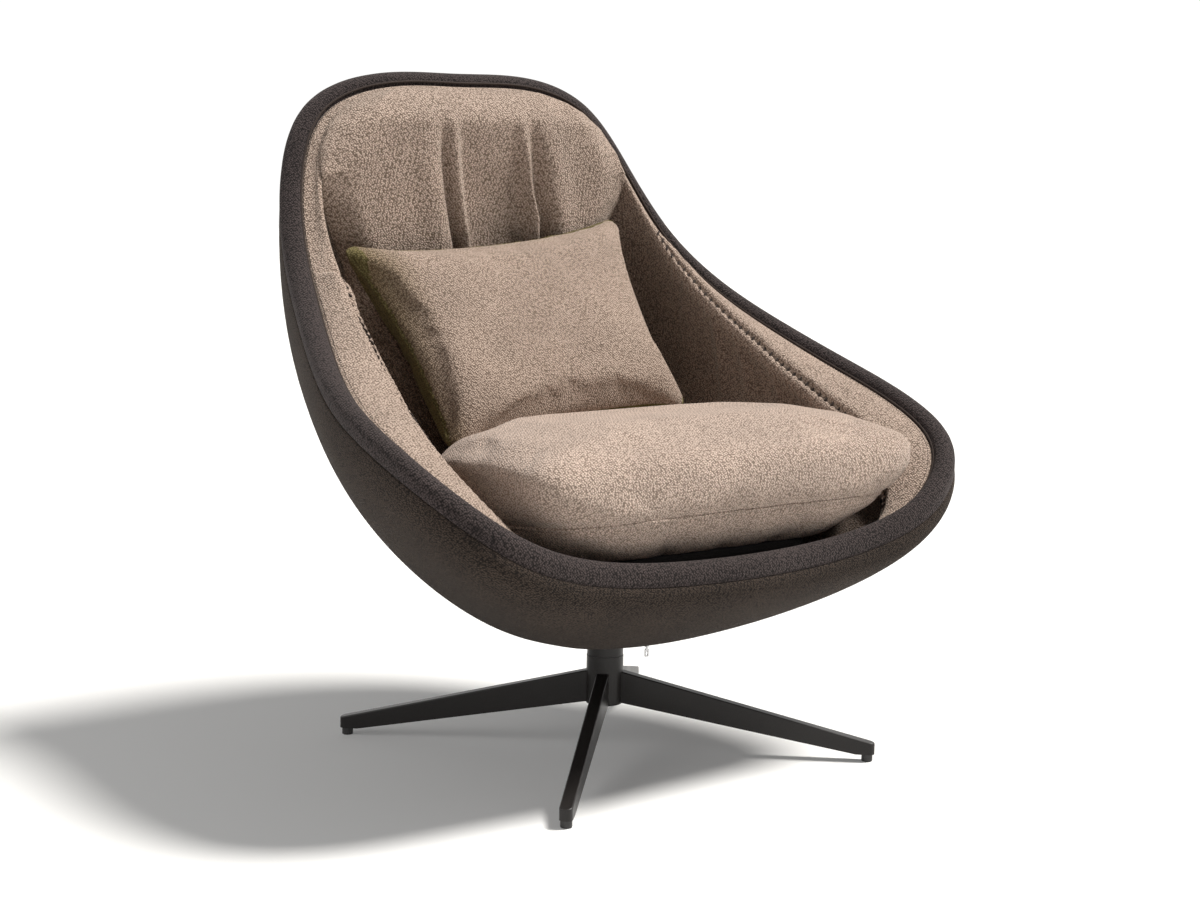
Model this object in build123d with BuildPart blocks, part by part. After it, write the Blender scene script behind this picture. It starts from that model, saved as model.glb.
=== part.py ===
"""Swivel barrel chair: a padded egg-shaped shell on a four-star base, with loose cushions.

Millimetres. The origin is on the floor, on the swivel axis. +Z is up and the chair faces -Y.
"""
import os
from math import asin, atan2, cos, degrees, hypot, radians, sin

from build123d import *

# Rim of the shell: ridge of the padded roll, right half, from the front lip round to the crown
RIM_POINTS = (
    (0, -271, 310),
    (118, -268, 313),
    (233, -268, 328),
    (335, -266, 365),
    (405, -227, 418),
    (427, -125, 465),
    (413, -1, 508),
    (383, 100, 553),
    (347, 197, 606),
    (316, 284, 679),
    (287, 342, 776),
    (227, 370, 859),
    (128, 374, 899),
    (0, 372, 903),
)
RIM_STATIONS = 24
STATION_LAP = 2

# Shell wall: a curve from the flat underside out and up to the rim, given at front, side and back
BASE_RING_RADIUS = 95.0
UNDERSIDE_HEIGHT = 163.0
FLOOR_REACH = (40.0, 110.0, 152.0)
WALL_BULGE = (12.0, 21.0, 10.0)
WALL_RISE = (0.36, 0.38, 0.63)

# Layers of the shell, from the outside in
COVER_THICKNESS = 3.0
CORE_THICKNESS = 12.0
LINING_DEPTH = (40.0, 52.0, 50.0)
LAYER_GAP = 0.3
ROLL_GAP = 0.8
ROLL_RADIUS = 15.0
ROLL_HEIGHT = 30.0
LINING_DROP = (12.0, 6.0, 8.0)
SHOULDER_RISE = (14.0, 44.0, 20.0)
LINING_STEP = 4.0
LINING_CROSS_SEAM = 250.0

# Border of the lining beside the roll: direction in degrees, from front to back, and width from the ridge
BORDER_WIDTHS = (
    (-90, 25),
    (-50, 25),
    (-42, 42),
    (-32, 82),
    (-10, 94),
    (4, 84),
    (14, 70),
    (28, 55),
    (50, 38),
    (90, 35),
)

# Four-star base
HUB_DIAMETER = 50.0
HUB_BOTTOM = 63.0
HUB_TOP = 130.0
HUB_EDGE_RADIUS = 2.0
LEG_NAMES = ("leg_rear_right", "leg_rear_left", "leg_front_left", "leg_front_right")
LEG_FIRST_ANGLE = 45.0
LEG_REACH = 367.0
LEG_WIDTH = 17.0
LEG_ROOT_LOW = 65.0
LEG_ROOT_HIGH = 108.0
LEG_TIP_HEIGHT = 15.0
LEG_EDGE_RADIUS = 2.0
LEG_TIP_RADIUS = 7.5
LEG_TOP_SLOPE = 0.5
GLIDE_SETBACK = 10.0
GLIDE_DIAMETER = 15.0
GLIDE_HEIGHT = 10.0
GLIDE_EDGE_RADIUS = 1.5
GLIDE_STEM_DIAMETER = 6.0
GLIDE_STEM_LENGTH = 9.0
LEG_BOLT_DIAMETER = 6.0
LEG_BOLT_HEAD_DIAMETER = 10.0
LEG_BOLT_HEAD_HEIGHT = 5.5
LEG_BOLT_LENGTH = 26.0
LEG_BOLT_RECESS = 0.5
LEG_BOLT_HEIGHTS = (77.0, 96.0)

# Swivel bearing
SPINDLE_DIAMETER = 25.0
SPINDLE_SEAT_DIAMETER = 28.0
SPINDLE_SEAT_BOTTOM = 72.0
RUNNING_CLEARANCE = 0.05
FIT_CLEARANCE = 0.05
HUB_BOLT_DIAMETER = 10.0
HUB_BOLT_HEAD_WIDTH = 17.0
HUB_BOLT_HEAD_HEIGHT = 6.4
HUB_BOLT_LENGTH = 35.0
HUB_WASHER_DIAMETER = 30.0
HUB_WASHER_THICKNESS = 2.0
SPINDLE_CHAMFER = 1.0
THRUST_OUTER_DIAMETER = 44.0
THRUST_WASHER_THICKNESS = 2.0
THRUST_BALL_DIAMETER = 4.0
THRUST_BALL_COUNT = 16
THRUST_CAGE_THICKNESS = 2.2
CAGE_HALF_WIDTH = 3.4
THRUST_RUNNING_GAP = 0.06
SLEEVE_DIAMETER = 44.0
SLEEVE_RISE = 22.7
SKIRT_DIAMETER = 49.0
SKIRT_HEIGHT = 22.0
SKIRT_GAP = 0.6
SKIRT_CLEARANCE = 0.6
BUSH_WALL = 3.0
BUSH_LENGTH = 22.0
CLIP_THICKNESS = 1.6
CLIP_DIAMETER = 34.0
CLIP_MOUTH = 9.0
CLIP_GROOVE_DEPTH = 1.2
RETAINING_WASHER_DIAMETER = 42.0
RETAINING_WASHER_THICKNESS = 2.0
SPINDLE_TAIL = 4.0
PLATE_DIAMETER = 170.0
PLATE_THICKNESS = 6.0
PLATE_BOLT_CIRCLE = 140.0
PLATE_BOLT_COUNT = 4
PLATE_BOLT_DIAMETER = 8.0
PLATE_BOLT_HEAD_WIDTH = 13.0
PLATE_BOLT_HEAD_HEIGHT = 7.0
TEE_NUT_FLANGE_DIAMETER = 22.0
TEE_NUT_FLANGE_THICKNESS = 1.5
TEE_NUT_BARREL_DIAMETER = 11.0
CORE_FLOOR_INSET = 1.0
CORE_FLOOR_LAP = 12.0
COLUMN_CLEARANCE = 3.0

# Zip under the seat, on a circle round the column
ZIP_RADIUS = 84.0
ZIP_TAPE_WIDTH = 18.0
ZIP_TAPE_THICKNESS = 1.6
ZIP_TEETH_WIDTH = 5.0
ZIP_TEETH_THICKNESS = 1.4
BASE_PANEL_THICKNESS = 2.4
SLIDER_LENGTH = 11.0
SLIDER_WIDTH = 8.0
SLIDER_WALL = 1.4
SLIDER_CLEARANCE = 0.3
SLIDER_ANGLE = -87.0
EAR_HEIGHT = 4.0
EAR_THICKNESS = 1.2
EAR_GAP = 2.0
EAR_LENGTH = 4.0
PIN_DEPTH = 2.4
PULL_PIN_DIAMETER = 1.6
PULL_THICKNESS = 1.4
PULL_WIDTH = 7.0
PULL_LENGTH = 11.0
PULL_SLOT_WIDTH = 3.0
PULL_SLOT_LENGTH = 6.0
PULL_SLOT_OFFSET = 1.0
PULL_CORNER_RADIUS = 2.0
PULL_EYE_RADIUS = 2.1
PULL_NECK = 4.0
PULL_NECK_WIDTH = 3.0

# Seat: tilted deck on a foam block, loose cushion on the deck
SEAT_HEIGHT = 292.0
SEAT_TILT = 4.0
SEAT_GAP = 0.3
DECK_THICKNESS = 12.0
DECK_FRONT = -226.0
DECK_FRONT_HALF_WIDTH = 150.0
DECK_HALF_WIDTH = 236.0
DECK_WIDEST = -130.0
DECK_BACK = 176.0
DECK_REAR_HALF_WIDTH = 110.0
DECK_WAIST_BOW = 30.0
DECK_CORNER_RADIUS = 60.0
FOAM_INSET = 12.0
FOAM_CLEARANCE = 3.0
FOAM_FOOT_HALF_WIDTH = 78.0
FOAM_FOOT_CORNER_RADIUS = 30.0
FOAM_WELL_DIAMETER = 60.0
FOAM_WELL_CLEARANCE = 6.0
BOLT_WELL_DIAMETER = 20.0

# Seat cushion outlines: height above the deck, front edge, front corner, widest point, waist, back
CUSHION_OUTLINES = (
    (0.0, -226, 170, (236, -150), (216, 10), (126, 150)),
    (24.0, -246, 210, (278, -170), (252, 10), (146, 164)),
    (70.0, -264, 250, (312, -190), (296, 10), (170, 178)),
    (112.0, -266, 256, (318, -192), (306, 10), (176, 128)),
    (142.0, -240, 220, (288, -164), (276, -16), (158, 50)),
    (154.0, -200, 165, (232, -132), (216, -26), (126, 26)),
    (160.0, -150, 105, (156, -104), (144, -40), (84, -4)),
)
CUSHION_RADII = (90.0, 80.0, 120.0, 60.0)

# Back pad: height, half width, back at the middle and thickness, with pleats between its lobes
PAD_LEVELS = (
    (400, 140, 267.7, 20),
    (480, 180, 293.7, 26),
    (560, 200, 312.7, 27),
    (640, 210, 325.7, 27),
    (720, 210, 332.7, 30),
    (790, 196, 335.7, 38),
    (840, 166, 336.7, 40),
    (872, 118, 336.7, 26),
)
PAD_BACK_SAG = 12.0
PAD_SIDE_SHARE = 0.45
PLEAT_SHARE = 0.34
PLEAT_DEPTH = 6.0

# Loose lumbar pillow: seam plane, and outlines as distance from it, width, height and bow of the sides
PILLOW_DEPTH = 182.0
PILLOW_RISE = 264.5
PILLOW_LEAN = 37.0
PILLOW_ROLL = 4.0
PILLOW_SEAM = (0.0, 456, 318, -14.0)
PILLOW_FRONT_OUTLINES = (
    (8.0, 432, 294, -6.0),
    (20.0, 372, 244, 4.0),
    (28.0, 280, 172, 8.0),
    (31.0, 180, 96, 8.0),
)
PILLOW_BACK_OUTLINES = (
    (-14.0, 430, 292, -6.0),
    (-36.0, 372, 240, 4.0),
    (-52.0, 272, 160, 8.0),
    (-58.0, 170, 90, 8.0),
)
PILLOW_CORNER_RADIUS = 20.0

# Derived heights of the swivel stack
COVER_OUT = 0.0
CORE_OUT = COVER_THICKNESS + LAYER_GAP
LINING_OUT = CORE_OUT + CORE_THICKNESS + LAYER_GAP
CORE_FLOOR_LOW = UNDERSIDE_HEIGHT + CORE_OUT + CORE_FLOOR_INSET
CORE_FLOOR_HIGH = UNDERSIDE_HEIGHT + CORE_OUT + CORE_THICKNESS - CORE_FLOOR_INSET
PLATE_LOW = CORE_FLOOR_HIGH
PLATE_HIGH = PLATE_LOW + PLATE_THICKNESS
SLEEVE_TOP = PLATE_HIGH + SLEEVE_RISE
LOWER_WASHER_HIGH = HUB_TOP + THRUST_WASHER_THICKNESS
BALL_CENTER = LOWER_WASHER_HIGH + THRUST_BALL_DIAMETER / 2
UPPER_WASHER_LOW = LOWER_WASHER_HIGH + THRUST_BALL_DIAMETER + THRUST_RUNNING_GAP
UPPER_WASHER_HIGH = UPPER_WASHER_LOW + THRUST_WASHER_THICKNESS
THRUST_BORE = SPINDLE_DIAMETER / 2 + RUNNING_CLEARANCE
RETAINING_WASHER_LOW = SLEEVE_TOP + RUNNING_CLEARANCE
CLIP_LOW = RETAINING_WASHER_LOW + RETAINING_WASHER_THICKNESS
SPINDLE_TOP = CLIP_LOW + CLIP_THICKNESS + SPINDLE_TAIL
COLUMN_HOLE = SKIRT_DIAMETER / 2 + COLUMN_CLEARANCE
LEG_ANGLES = [LEG_FIRST_ANGLE + index * 360 / len(LEG_NAMES) for index in range(len(LEG_NAMES))]
GLIDE_CIRCLE_RADIUS = LEG_REACH - GLIDE_SETBACK
LEG_BOLT_START = SPINDLE_SEAT_DIAMETER / 2 + LEG_BOLT_RECESS
LEG_BOLT_END = LEG_BOLT_START + LEG_BOLT_HEAD_HEIGHT + LEG_BOLT_LENGTH
HUB_BOLT_TOP = HUB_BOTTOM - HUB_WASHER_THICKNESS + HUB_BOLT_LENGTH
BUSH_OUTER = SPINDLE_DIAMETER / 2 + RUNNING_CLEARANCE + BUSH_WALL
THRUST_PITCH_RADIUS = (THRUST_BORE + THRUST_OUTER_DIAMETER / 2) / 2
BALL_STEP = 360 / THRUST_BALL_COUNT
CAGE_LIFT = (THRUST_BALL_DIAMETER - THRUST_CAGE_THICKNESS) / 2
FOAM_NECK = UNDERSIDE_HEIGHT + max(LINING_DEPTH) + FOAM_CLEARANCE
TEE_NUT_LOW = CORE_FLOOR_LOW - TEE_NUT_FLANGE_THICKNESS
PLATE_BOLT_PLACES = PolarLocations(PLATE_BOLT_CIRCLE / 2, PLATE_BOLT_COUNT, start_angle=LEG_FIRST_ANGLE)
SLIDER_TOP = UNDERSIDE_HEIGHT - SLIDER_CLEARANCE
SLIDER_FLOOR = UNDERSIDE_HEIGHT - ZIP_TEETH_THICKNESS - SLIDER_CLEARANCE - SLIDER_WALL
SLIDER_OUT = Vector(cos(radians(SLIDER_ANGLE)), sin(radians(SLIDER_ANGLE)), 0)
SLIDER_ALONG = Vector(-SLIDER_OUT.Y, SLIDER_OUT.X, 0)
SLIDER_PLANE = Plane(origin=SLIDER_OUT * ZIP_RADIUS + Vector(0, 0, SLIDER_TOP), x_dir=SLIDER_ALONG)
PULL_PLANE = Plane(
    origin=SLIDER_OUT * ZIP_RADIUS + Vector(0, 0, SLIDER_FLOOR - PIN_DEPTH),
    x_dir=SLIDER_ALONG,
    z_dir=SLIDER_OUT,
)
PULL_DROP = PULL_NECK + PULL_LENGTH / 2
PILLOW_FRONT = Vector(0, -cos(radians(PILLOW_LEAN)), sin(radians(PILLOW_LEAN)))
PILLOW_UP = Vector(0, sin(radians(PILLOW_LEAN)), cos(radians(PILLOW_LEAN)))
PILLOW_PLANE = Plane(
    origin=(0, PILLOW_DEPTH, SEAT_HEIGHT + PILLOW_RISE),
    x_dir=Vector(cos(radians(PILLOW_ROLL)), 0, 0) + PILLOW_UP * sin(radians(PILLOW_ROLL)),
    z_dir=PILLOW_FRONT,
)

SEAT_PLANE = Plane(
    origin=(0, 0, SEAT_HEIGHT),
    x_dir=(1, 0, 0),
    z_dir=(0, sin(radians(SEAT_TILT)), cos(radians(SEAT_TILT))),
)

os.makedirs("parts", exist_ok=True)


def write(builder, name):
    """Label a finished piece and save it under its name."""
    builder.part.label = name
    export_step(builder.part, f"parts/{name}.step")


def blend(angle, values):
    """Mix the front, side and back value of a size for a direction round the chair."""
    front, side, back = values
    to_back = max(0.0, sin(angle)) ** 2
    to_front = max(0.0, -sin(angle)) ** 2
    return front * to_front + back * to_back + side * (1 - to_back - to_front)


def leg_bolt_plane(turn, height):
    """Upright plane on the swivel axis, facing out along a leg."""
    return Plane(origin=(0, 0, height), z_dir=(cos(radians(turn)), sin(radians(turn)), 0))


def glide_place(turn):
    """Centre of the glide under a leg."""
    return (GLIDE_CIRCLE_RADIUS * cos(radians(turn)), GLIDE_CIRCLE_RADIUS * sin(radians(turn)))


left_rim = [(-x, y, z) for x, y, z in reversed(RIM_POINTS[1:-1])]
rim_line = Spline(*RIM_POINTS, *left_rim, periodic=True)
STATIONS = [index / (2 * RIM_STATIONS) for index in range(-STATION_LAP, RIM_STATIONS + STATION_LAP + 1)]


class Meridian:
    """Upright plane through the swivel axis and one point of the rim, with the wall curve in it."""

    def __init__(self, station):
        ridge = rim_line @ (station % 1)
        self.angle = atan2(ridge.Y, ridge.X)
        self.reach = hypot(ridge.X, ridge.Y)
        self.height = ridge.Z
        self.plane = Plane(
            origin=(0, 0, 0),
            x_dir=(cos(self.angle), sin(self.angle), 0),
            z_dir=(sin(self.angle), -cos(self.angle), 0),
        )
        edge = self.reach + ROLL_RADIUS
        top = self.height - ROLL_HEIGHT - ROLL_GAP
        rise = blend(self.angle, WALL_RISE) * (top - UNDERSIDE_HEIGHT)
        self.poles = (
            Vector(BASE_RING_RADIUS, UNDERSIDE_HEIGHT),
            Vector(BASE_RING_RADIUS + blend(self.angle, FLOOR_REACH), UNDERSIDE_HEIGHT),
            Vector(edge + blend(self.angle, WALL_BULGE), top - rise),
            Vector(edge, top),
        )

    def inset(self, low, high):
        """Poles of the wall curve moved in, by one depth at the underside and another at the top."""
        legs = [(after - before).normalized() for before, after in zip(self.poles, self.poles[1:])]
        normals = [Vector(-leg.Y, leg.X) for leg in legs]
        moved = [self.poles[0] + normals[0] * low]
        depths = (low, (low + high) / 2)
        for pole, before, after, depth in zip(self.poles[1:3], normals, normals[1:], depths):
            moved.append(pole + (before + after) * (depth / (1 + before.dot(after))))
        moved.append(self.poles[3] + normals[2] * high)
        return moved

    def border(self):
        """Width of the lining border, from the ridge of the roll inwards."""
        turn = degrees(asin(sin(self.angle)))
        for (start, narrow), (end, wide) in zip(BORDER_WIDTHS, BORDER_WIDTHS[1:]):
            if turn <= end:
                return narrow + (wide - narrow) * (turn - start) / (end - start)
        return BORDER_WIDTHS[-1][1]


MERIDIANS = [Meridian(station) for station in STATIONS]


def layer_section(meridian, outer_depth, inner_depth):
    """Cross-section of one shell layer between two depths."""
    with BuildSketch(meridian.plane) as section:
        with BuildLine():
            outer = Bezier(*meridian.inset(outer_depth, outer_depth))
            inner = Bezier(*meridian.inset(inner_depth, inner_depth))
            Line(outer @ 1, inner @ 1)
            Line(outer @ 0, inner @ 0)
        make_face()
    return section.sketch


# Outer cover: padded fabric skin of the shell
with BuildPart() as outer_cover:
    loft([layer_section(meridian, COVER_OUT, COVER_OUT + COVER_THICKNESS) for meridian in MERIDIANS])
    split(bisect_by=Plane.YZ, keep=Keep.TOP)
    mirror(about=Plane.YZ)
write(outer_cover, "outer_cover")

# Shell core: stiff moulded shell with a flat floor for the swivel plate
with BuildPart() as shell_core:
    loft([layer_section(meridian, CORE_OUT, CORE_OUT + CORE_THICKNESS) for meridian in MERIDIANS])
    split(bisect_by=Plane.YZ, keep=Keep.TOP)
    mirror(about=Plane.YZ)
    with BuildSketch(Plane.XY.offset(CORE_FLOOR_LOW)):
        Circle(BASE_RING_RADIUS + CORE_FLOOR_LAP)
        Circle(COLUMN_HOLE, mode=Mode.SUBTRACT)
        with PLATE_BOLT_PLACES:
            Circle(TEE_NUT_BARREL_DIAMETER / 2 + FIT_CLEARANCE, mode=Mode.SUBTRACT)
    extrude(amount=CORE_FLOOR_HIGH - CORE_FLOOR_LOW)
write(shell_core, "shell_core")

# Inner lining: upholstered foam with a rounded shoulder beside the roll, right half
with BuildPart() as lining_half:
    for meridian in MERIDIANS:
        seam = meridian.reach - ROLL_RADIUS - ROLL_GAP
        seat_of_roll = meridian.height - ROLL_HEIGHT - ROLL_GAP
        shoulder = meridian.height - blend(meridian.angle, LINING_DROP)
        rise = blend(meridian.angle, SHOULDER_RISE)
        floor_depth = blend(meridian.angle, LINING_DEPTH)
        with BuildSketch(meridian.plane):
            with BuildLine():
                outer = Bezier(*meridian.inset(LINING_OUT, LINING_OUT))
                inner = Bezier(*meridian.inset(floor_depth, meridian.border() + ROLL_RADIUS))
                Line(outer @ 0, inner @ 0)
                Polyline(outer @ 1, (seam, seat_of_roll - LINING_STEP), (seam, shoulder))
                Bezier(
                    inner @ 1,
                    (inner @ 1) + (inner % 1) * rise,
                    (((inner @ 1).X + seam) / 2, shoulder),
                    (seam, shoulder),
                )
            make_face()
    loft()
    split(bisect_by=Plane.YZ, keep=Keep.TOP)

# Panels of the lining: the back, and two arm panels that meet it at the cross seams
with BuildPart() as lining_back:
    add(lining_half.part)
    split(bisect_by=Plane.XZ.offset(-LINING_CROSS_SEAM - LAYER_GAP / 2), keep=Keep.BOTTOM)
    mirror(about=Plane.YZ)
write(lining_back, "lining_back")

with BuildPart() as lining_right:
    add(lining_half.part)
    split(bisect_by=Plane.XZ.offset(-LINING_CROSS_SEAM + LAYER_GAP / 2), keep=Keep.TOP)
    split(bisect_by=Plane.YZ.offset(LAYER_GAP / 2), keep=Keep.TOP)
write(lining_right, "lining_right")

with BuildPart() as lining_left:
    add(mirror(lining_right.part, about=Plane.YZ))
write(lining_left, "lining_left")

# Rim roll: padded edge that caps the cover, the core and the lining
with BuildPart() as rim_roll:
    for meridian in MERIDIANS:
        low = meridian.height - ROLL_HEIGHT
        middle = meridian.height - ROLL_RADIUS
        with BuildSketch(meridian.plane):
            with BuildLine():
                outside = meridian.reach + ROLL_RADIUS
                inside = meridian.reach - ROLL_RADIUS
                Line((inside, low), (outside, low))
                Line((outside, low), (outside, middle))
                RadiusArc((outside, middle), (meridian.reach, meridian.height), -ROLL_RADIUS)
                RadiusArc((meridian.reach, meridian.height), (inside, middle), -ROLL_RADIUS)
                Line((inside, middle), (inside, low))
            make_face()
    loft()
    split(bisect_by=Plane.YZ, keep=Keep.TOP)
    mirror(about=Plane.YZ)
write(rim_roll, "rim_roll")

# Hub of the base: turned boss with a blind bore for the spindle and a bolt from below
with BuildPart() as hub:
    with BuildSketch(Plane.XY.offset(HUB_BOTTOM)):
        Circle(HUB_DIAMETER / 2)
    extrude(amount=HUB_TOP - HUB_BOTTOM)
    fillet(hub.edges().filter_by(GeomType.CIRCLE).sort_by(Axis.Z)[0], HUB_EDGE_RADIUS)
    with BuildSketch(Plane.XY.offset(SPINDLE_SEAT_BOTTOM)):
        Circle(SPINDLE_SEAT_DIAMETER / 2 + FIT_CLEARANCE)
    extrude(amount=HUB_TOP - SPINDLE_SEAT_BOTTOM, mode=Mode.SUBTRACT)
    with BuildSketch(Plane.XY.offset(HUB_BOTTOM)):
        Circle(HUB_BOLT_DIAMETER / 2 + FIT_CLEARANCE)
    extrude(amount=SPINDLE_SEAT_BOTTOM - HUB_BOTTOM, mode=Mode.SUBTRACT)
    for turn in LEG_ANGLES:
        for height in LEG_BOLT_HEIGHTS:
            with BuildSketch(leg_bolt_plane(turn, height)):
                Circle(LEG_BOLT_DIAMETER / 2 + FIT_CLEARANCE)
            extrude(amount=HUB_DIAMETER / 2, mode=Mode.SUBTRACT)
            with BuildSketch(leg_bolt_plane(turn, height)):
                Circle(LEG_BOLT_HEAD_DIAMETER / 2 + FIT_CLEARANCE)
            extrude(amount=LEG_BOLT_START + LEG_BOLT_HEAD_HEIGHT, mode=Mode.SUBTRACT)
write(hub, "hub")

# Legs: tapered blades, hollowed at the root to sit against the hub
for turn, name in zip(LEG_ANGLES, LEG_NAMES):
    upright = Plane(origin=(0, 0, 0), x_dir=(cos(radians(turn)), sin(radians(turn)), 0),
                    z_dir=(sin(radians(turn)), -cos(radians(turn)), 0))
    with BuildPart() as leg:
        with BuildSketch(upright):
            with BuildLine():
                Polyline(
                    (0, LEG_ROOT_LOW),
                    (HUB_DIAMETER / 2, LEG_ROOT_LOW),
                    (GLIDE_CIRCLE_RADIUS - GLIDE_DIAMETER, GLIDE_HEIGHT),
                    (LEG_REACH, GLIDE_HEIGHT),
                    (LEG_REACH, GLIDE_HEIGHT + LEG_TIP_HEIGHT),
                    (HUB_DIAMETER / 2, LEG_ROOT_HIGH),
                    (0, LEG_ROOT_HIGH),
                    close=True,
                )
            make_face()
        extrude(amount=LEG_WIDTH / 2, both=True)
        tip = leg.faces().sort_by(SortBy.DISTANCE)[-1]
        fillet(tip.edges().filter_by(Axis.Z), LEG_TIP_RADIUS)
        top = [face for face in leg.faces() if face.normal_at().Z > LEG_TOP_SLOPE]
        fillet(max(top, key=lambda face: face.area).outer_wire().edges(), LEG_EDGE_RADIUS)
        with BuildSketch(Plane.XY.offset(HUB_BOTTOM)):
            Circle(HUB_DIAMETER / 2)
        extrude(amount=HUB_TOP - HUB_BOTTOM, mode=Mode.SUBTRACT)
        for height in LEG_BOLT_HEIGHTS:
            with BuildSketch(leg_bolt_plane(turn, height)):
                Circle(LEG_BOLT_DIAMETER / 2 + FIT_CLEARANCE)
            extrude(amount=LEG_BOLT_END, mode=Mode.SUBTRACT)
        with BuildSketch(Plane.XY.offset(GLIDE_HEIGHT)):
            with Locations(glide_place(turn)):
                Circle(GLIDE_STEM_DIAMETER / 2 + FIT_CLEARANCE)
        extrude(amount=GLIDE_STEM_LENGTH, mode=Mode.SUBTRACT)
    write(leg, name)

# Leg bolts: socket-head screws from inside the hub bore into the leg roots
with BuildPart() as leg_bolts:
    for turn in LEG_ANGLES:
        for height in LEG_BOLT_HEIGHTS:
            with BuildSketch(leg_bolt_plane(turn, height)):
                Circle(LEG_BOLT_DIAMETER / 2)
            extrude(amount=LEG_BOLT_END)
            with BuildSketch(leg_bolt_plane(turn, height)):
                Circle(LEG_BOLT_HEAD_DIAMETER / 2)
            extrude(amount=LEG_BOLT_START + LEG_BOLT_HEAD_HEIGHT)
    with BuildSketch(Plane.XY.offset(HUB_BOTTOM)):
        Circle(LEG_BOLT_START)
    extrude(amount=HUB_TOP - HUB_BOTTOM, mode=Mode.SUBTRACT)
write(leg_bolts, "leg_bolts")

# Foot glides: nylon pucks with a stem in each leg tip
with BuildPart() as foot_glides:
    with BuildSketch():
        with Locations(*[glide_place(turn) for turn in LEG_ANGLES]):
            Circle(GLIDE_DIAMETER / 2)
    extrude(amount=GLIDE_HEIGHT)
    fillet(foot_glides.edges().group_by(Axis.Z)[0], GLIDE_EDGE_RADIUS)
    with BuildSketch(Plane.XY.offset(GLIDE_HEIGHT)):
        with Locations(*[glide_place(turn) for turn in LEG_ANGLES]):
            Circle(GLIDE_STEM_DIAMETER / 2)
    extrude(amount=GLIDE_STEM_LENGTH)
write(foot_glides, "foot_glides")

# Spindle: steel post with a shoulder seated in the hub and a groove for the clip
with BuildPart() as spindle:
    with BuildSketch(Plane.XY.offset(SPINDLE_SEAT_BOTTOM)):
        Circle(SPINDLE_SEAT_DIAMETER / 2)
    extrude(amount=HUB_TOP - SPINDLE_SEAT_BOTTOM)
    with BuildSketch(Plane.XY.offset(HUB_TOP)):
        Circle(SPINDLE_DIAMETER / 2)
    extrude(amount=SPINDLE_TOP - HUB_TOP)
    chamfer(spindle.edges().group_by(Axis.Z)[-1], SPINDLE_CHAMFER)
    with BuildSketch(Plane.XY.offset(CLIP_LOW)):
        Circle(SPINDLE_DIAMETER / 2)
        Circle(SPINDLE_DIAMETER / 2 - CLIP_GROOVE_DEPTH, mode=Mode.SUBTRACT)
    extrude(amount=CLIP_THICKNESS, mode=Mode.SUBTRACT)
    with BuildSketch(Plane.XY.offset(SPINDLE_SEAT_BOTTOM)):
        Circle(HUB_BOLT_DIAMETER / 2 + FIT_CLEARANCE)
    extrude(amount=HUB_BOLT_TOP - SPINDLE_SEAT_BOTTOM, mode=Mode.SUBTRACT)
write(spindle, "spindle")

# Hub bolt: hexagon screw with a washer, pulling the spindle into the hub
with BuildPart() as hub_washer:
    with BuildSketch(Plane.XY.offset(HUB_BOTTOM - HUB_WASHER_THICKNESS)):
        Circle(HUB_WASHER_DIAMETER / 2)
        Circle(HUB_BOLT_DIAMETER / 2 + FIT_CLEARANCE, mode=Mode.SUBTRACT)
    extrude(amount=HUB_WASHER_THICKNESS)
write(hub_washer, "hub_washer")

with BuildPart() as hub_bolt:
    with BuildSketch(Plane.XY.offset(HUB_BOTTOM - HUB_WASHER_THICKNESS)):
        Circle(HUB_BOLT_DIAMETER / 2)
    extrude(amount=HUB_BOLT_TOP - HUB_BOTTOM + HUB_WASHER_THICKNESS)
    with BuildSketch(Plane.XY.offset(HUB_BOTTOM - HUB_WASHER_THICKNESS)):
        RegularPolygon(HUB_BOLT_HEAD_WIDTH / 2, 6, major_radius=False)
    extrude(amount=-HUB_BOLT_HEAD_HEIGHT)
write(hub_bolt, "hub_bolt")

# Thrust bearing: two washers with a caged ring of balls between them
with BuildPart() as thrust_washer_lower:
    with BuildSketch(Plane.XY.offset(HUB_TOP)):
        Circle(THRUST_OUTER_DIAMETER / 2)
        Circle(THRUST_BORE, mode=Mode.SUBTRACT)
    extrude(amount=THRUST_WASHER_THICKNESS)
write(thrust_washer_lower, "thrust_washer_lower")

with BuildPart() as thrust_washer_upper:
    with BuildSketch(Plane.XY.offset(UPPER_WASHER_LOW)):
        Circle(THRUST_OUTER_DIAMETER / 2)
        Circle(THRUST_BORE, mode=Mode.SUBTRACT)
    extrude(amount=THRUST_WASHER_THICKNESS)
write(thrust_washer_upper, "thrust_washer_upper")

with BuildPart() as thrust_balls:
    with BuildSketch(Plane.XZ):
        with Locations((THRUST_PITCH_RADIUS, BALL_CENTER)):
            Circle(THRUST_BALL_DIAMETER / 2)
            Rectangle(THRUST_BALL_DIAMETER, THRUST_BALL_DIAMETER, align=(Align.MAX, Align.CENTER),
                      mode=Mode.SUBTRACT)
    revolve(axis=Axis((THRUST_PITCH_RADIUS, 0, 0), (0, 0, 1)))
    ball = thrust_balls.part
    with PolarLocations(0, THRUST_BALL_COUNT - 1, start_angle=BALL_STEP, angular_range=360 - BALL_STEP):
        add(ball)
write(thrust_balls, "thrust_balls")

with BuildPart() as thrust_cage:
    with BuildSketch(Plane.XY.offset(LOWER_WASHER_HIGH + CAGE_LIFT)):
        Circle(THRUST_PITCH_RADIUS + CAGE_HALF_WIDTH)
        Circle(THRUST_PITCH_RADIUS - CAGE_HALF_WIDTH, mode=Mode.SUBTRACT)
        with PolarLocations(THRUST_PITCH_RADIUS, THRUST_BALL_COUNT):
            Circle(THRUST_BALL_DIAMETER / 2 + FIT_CLEARANCE, mode=Mode.SUBTRACT)
    extrude(amount=THRUST_CAGE_THICKNESS)
write(thrust_cage, "thrust_cage")

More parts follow.
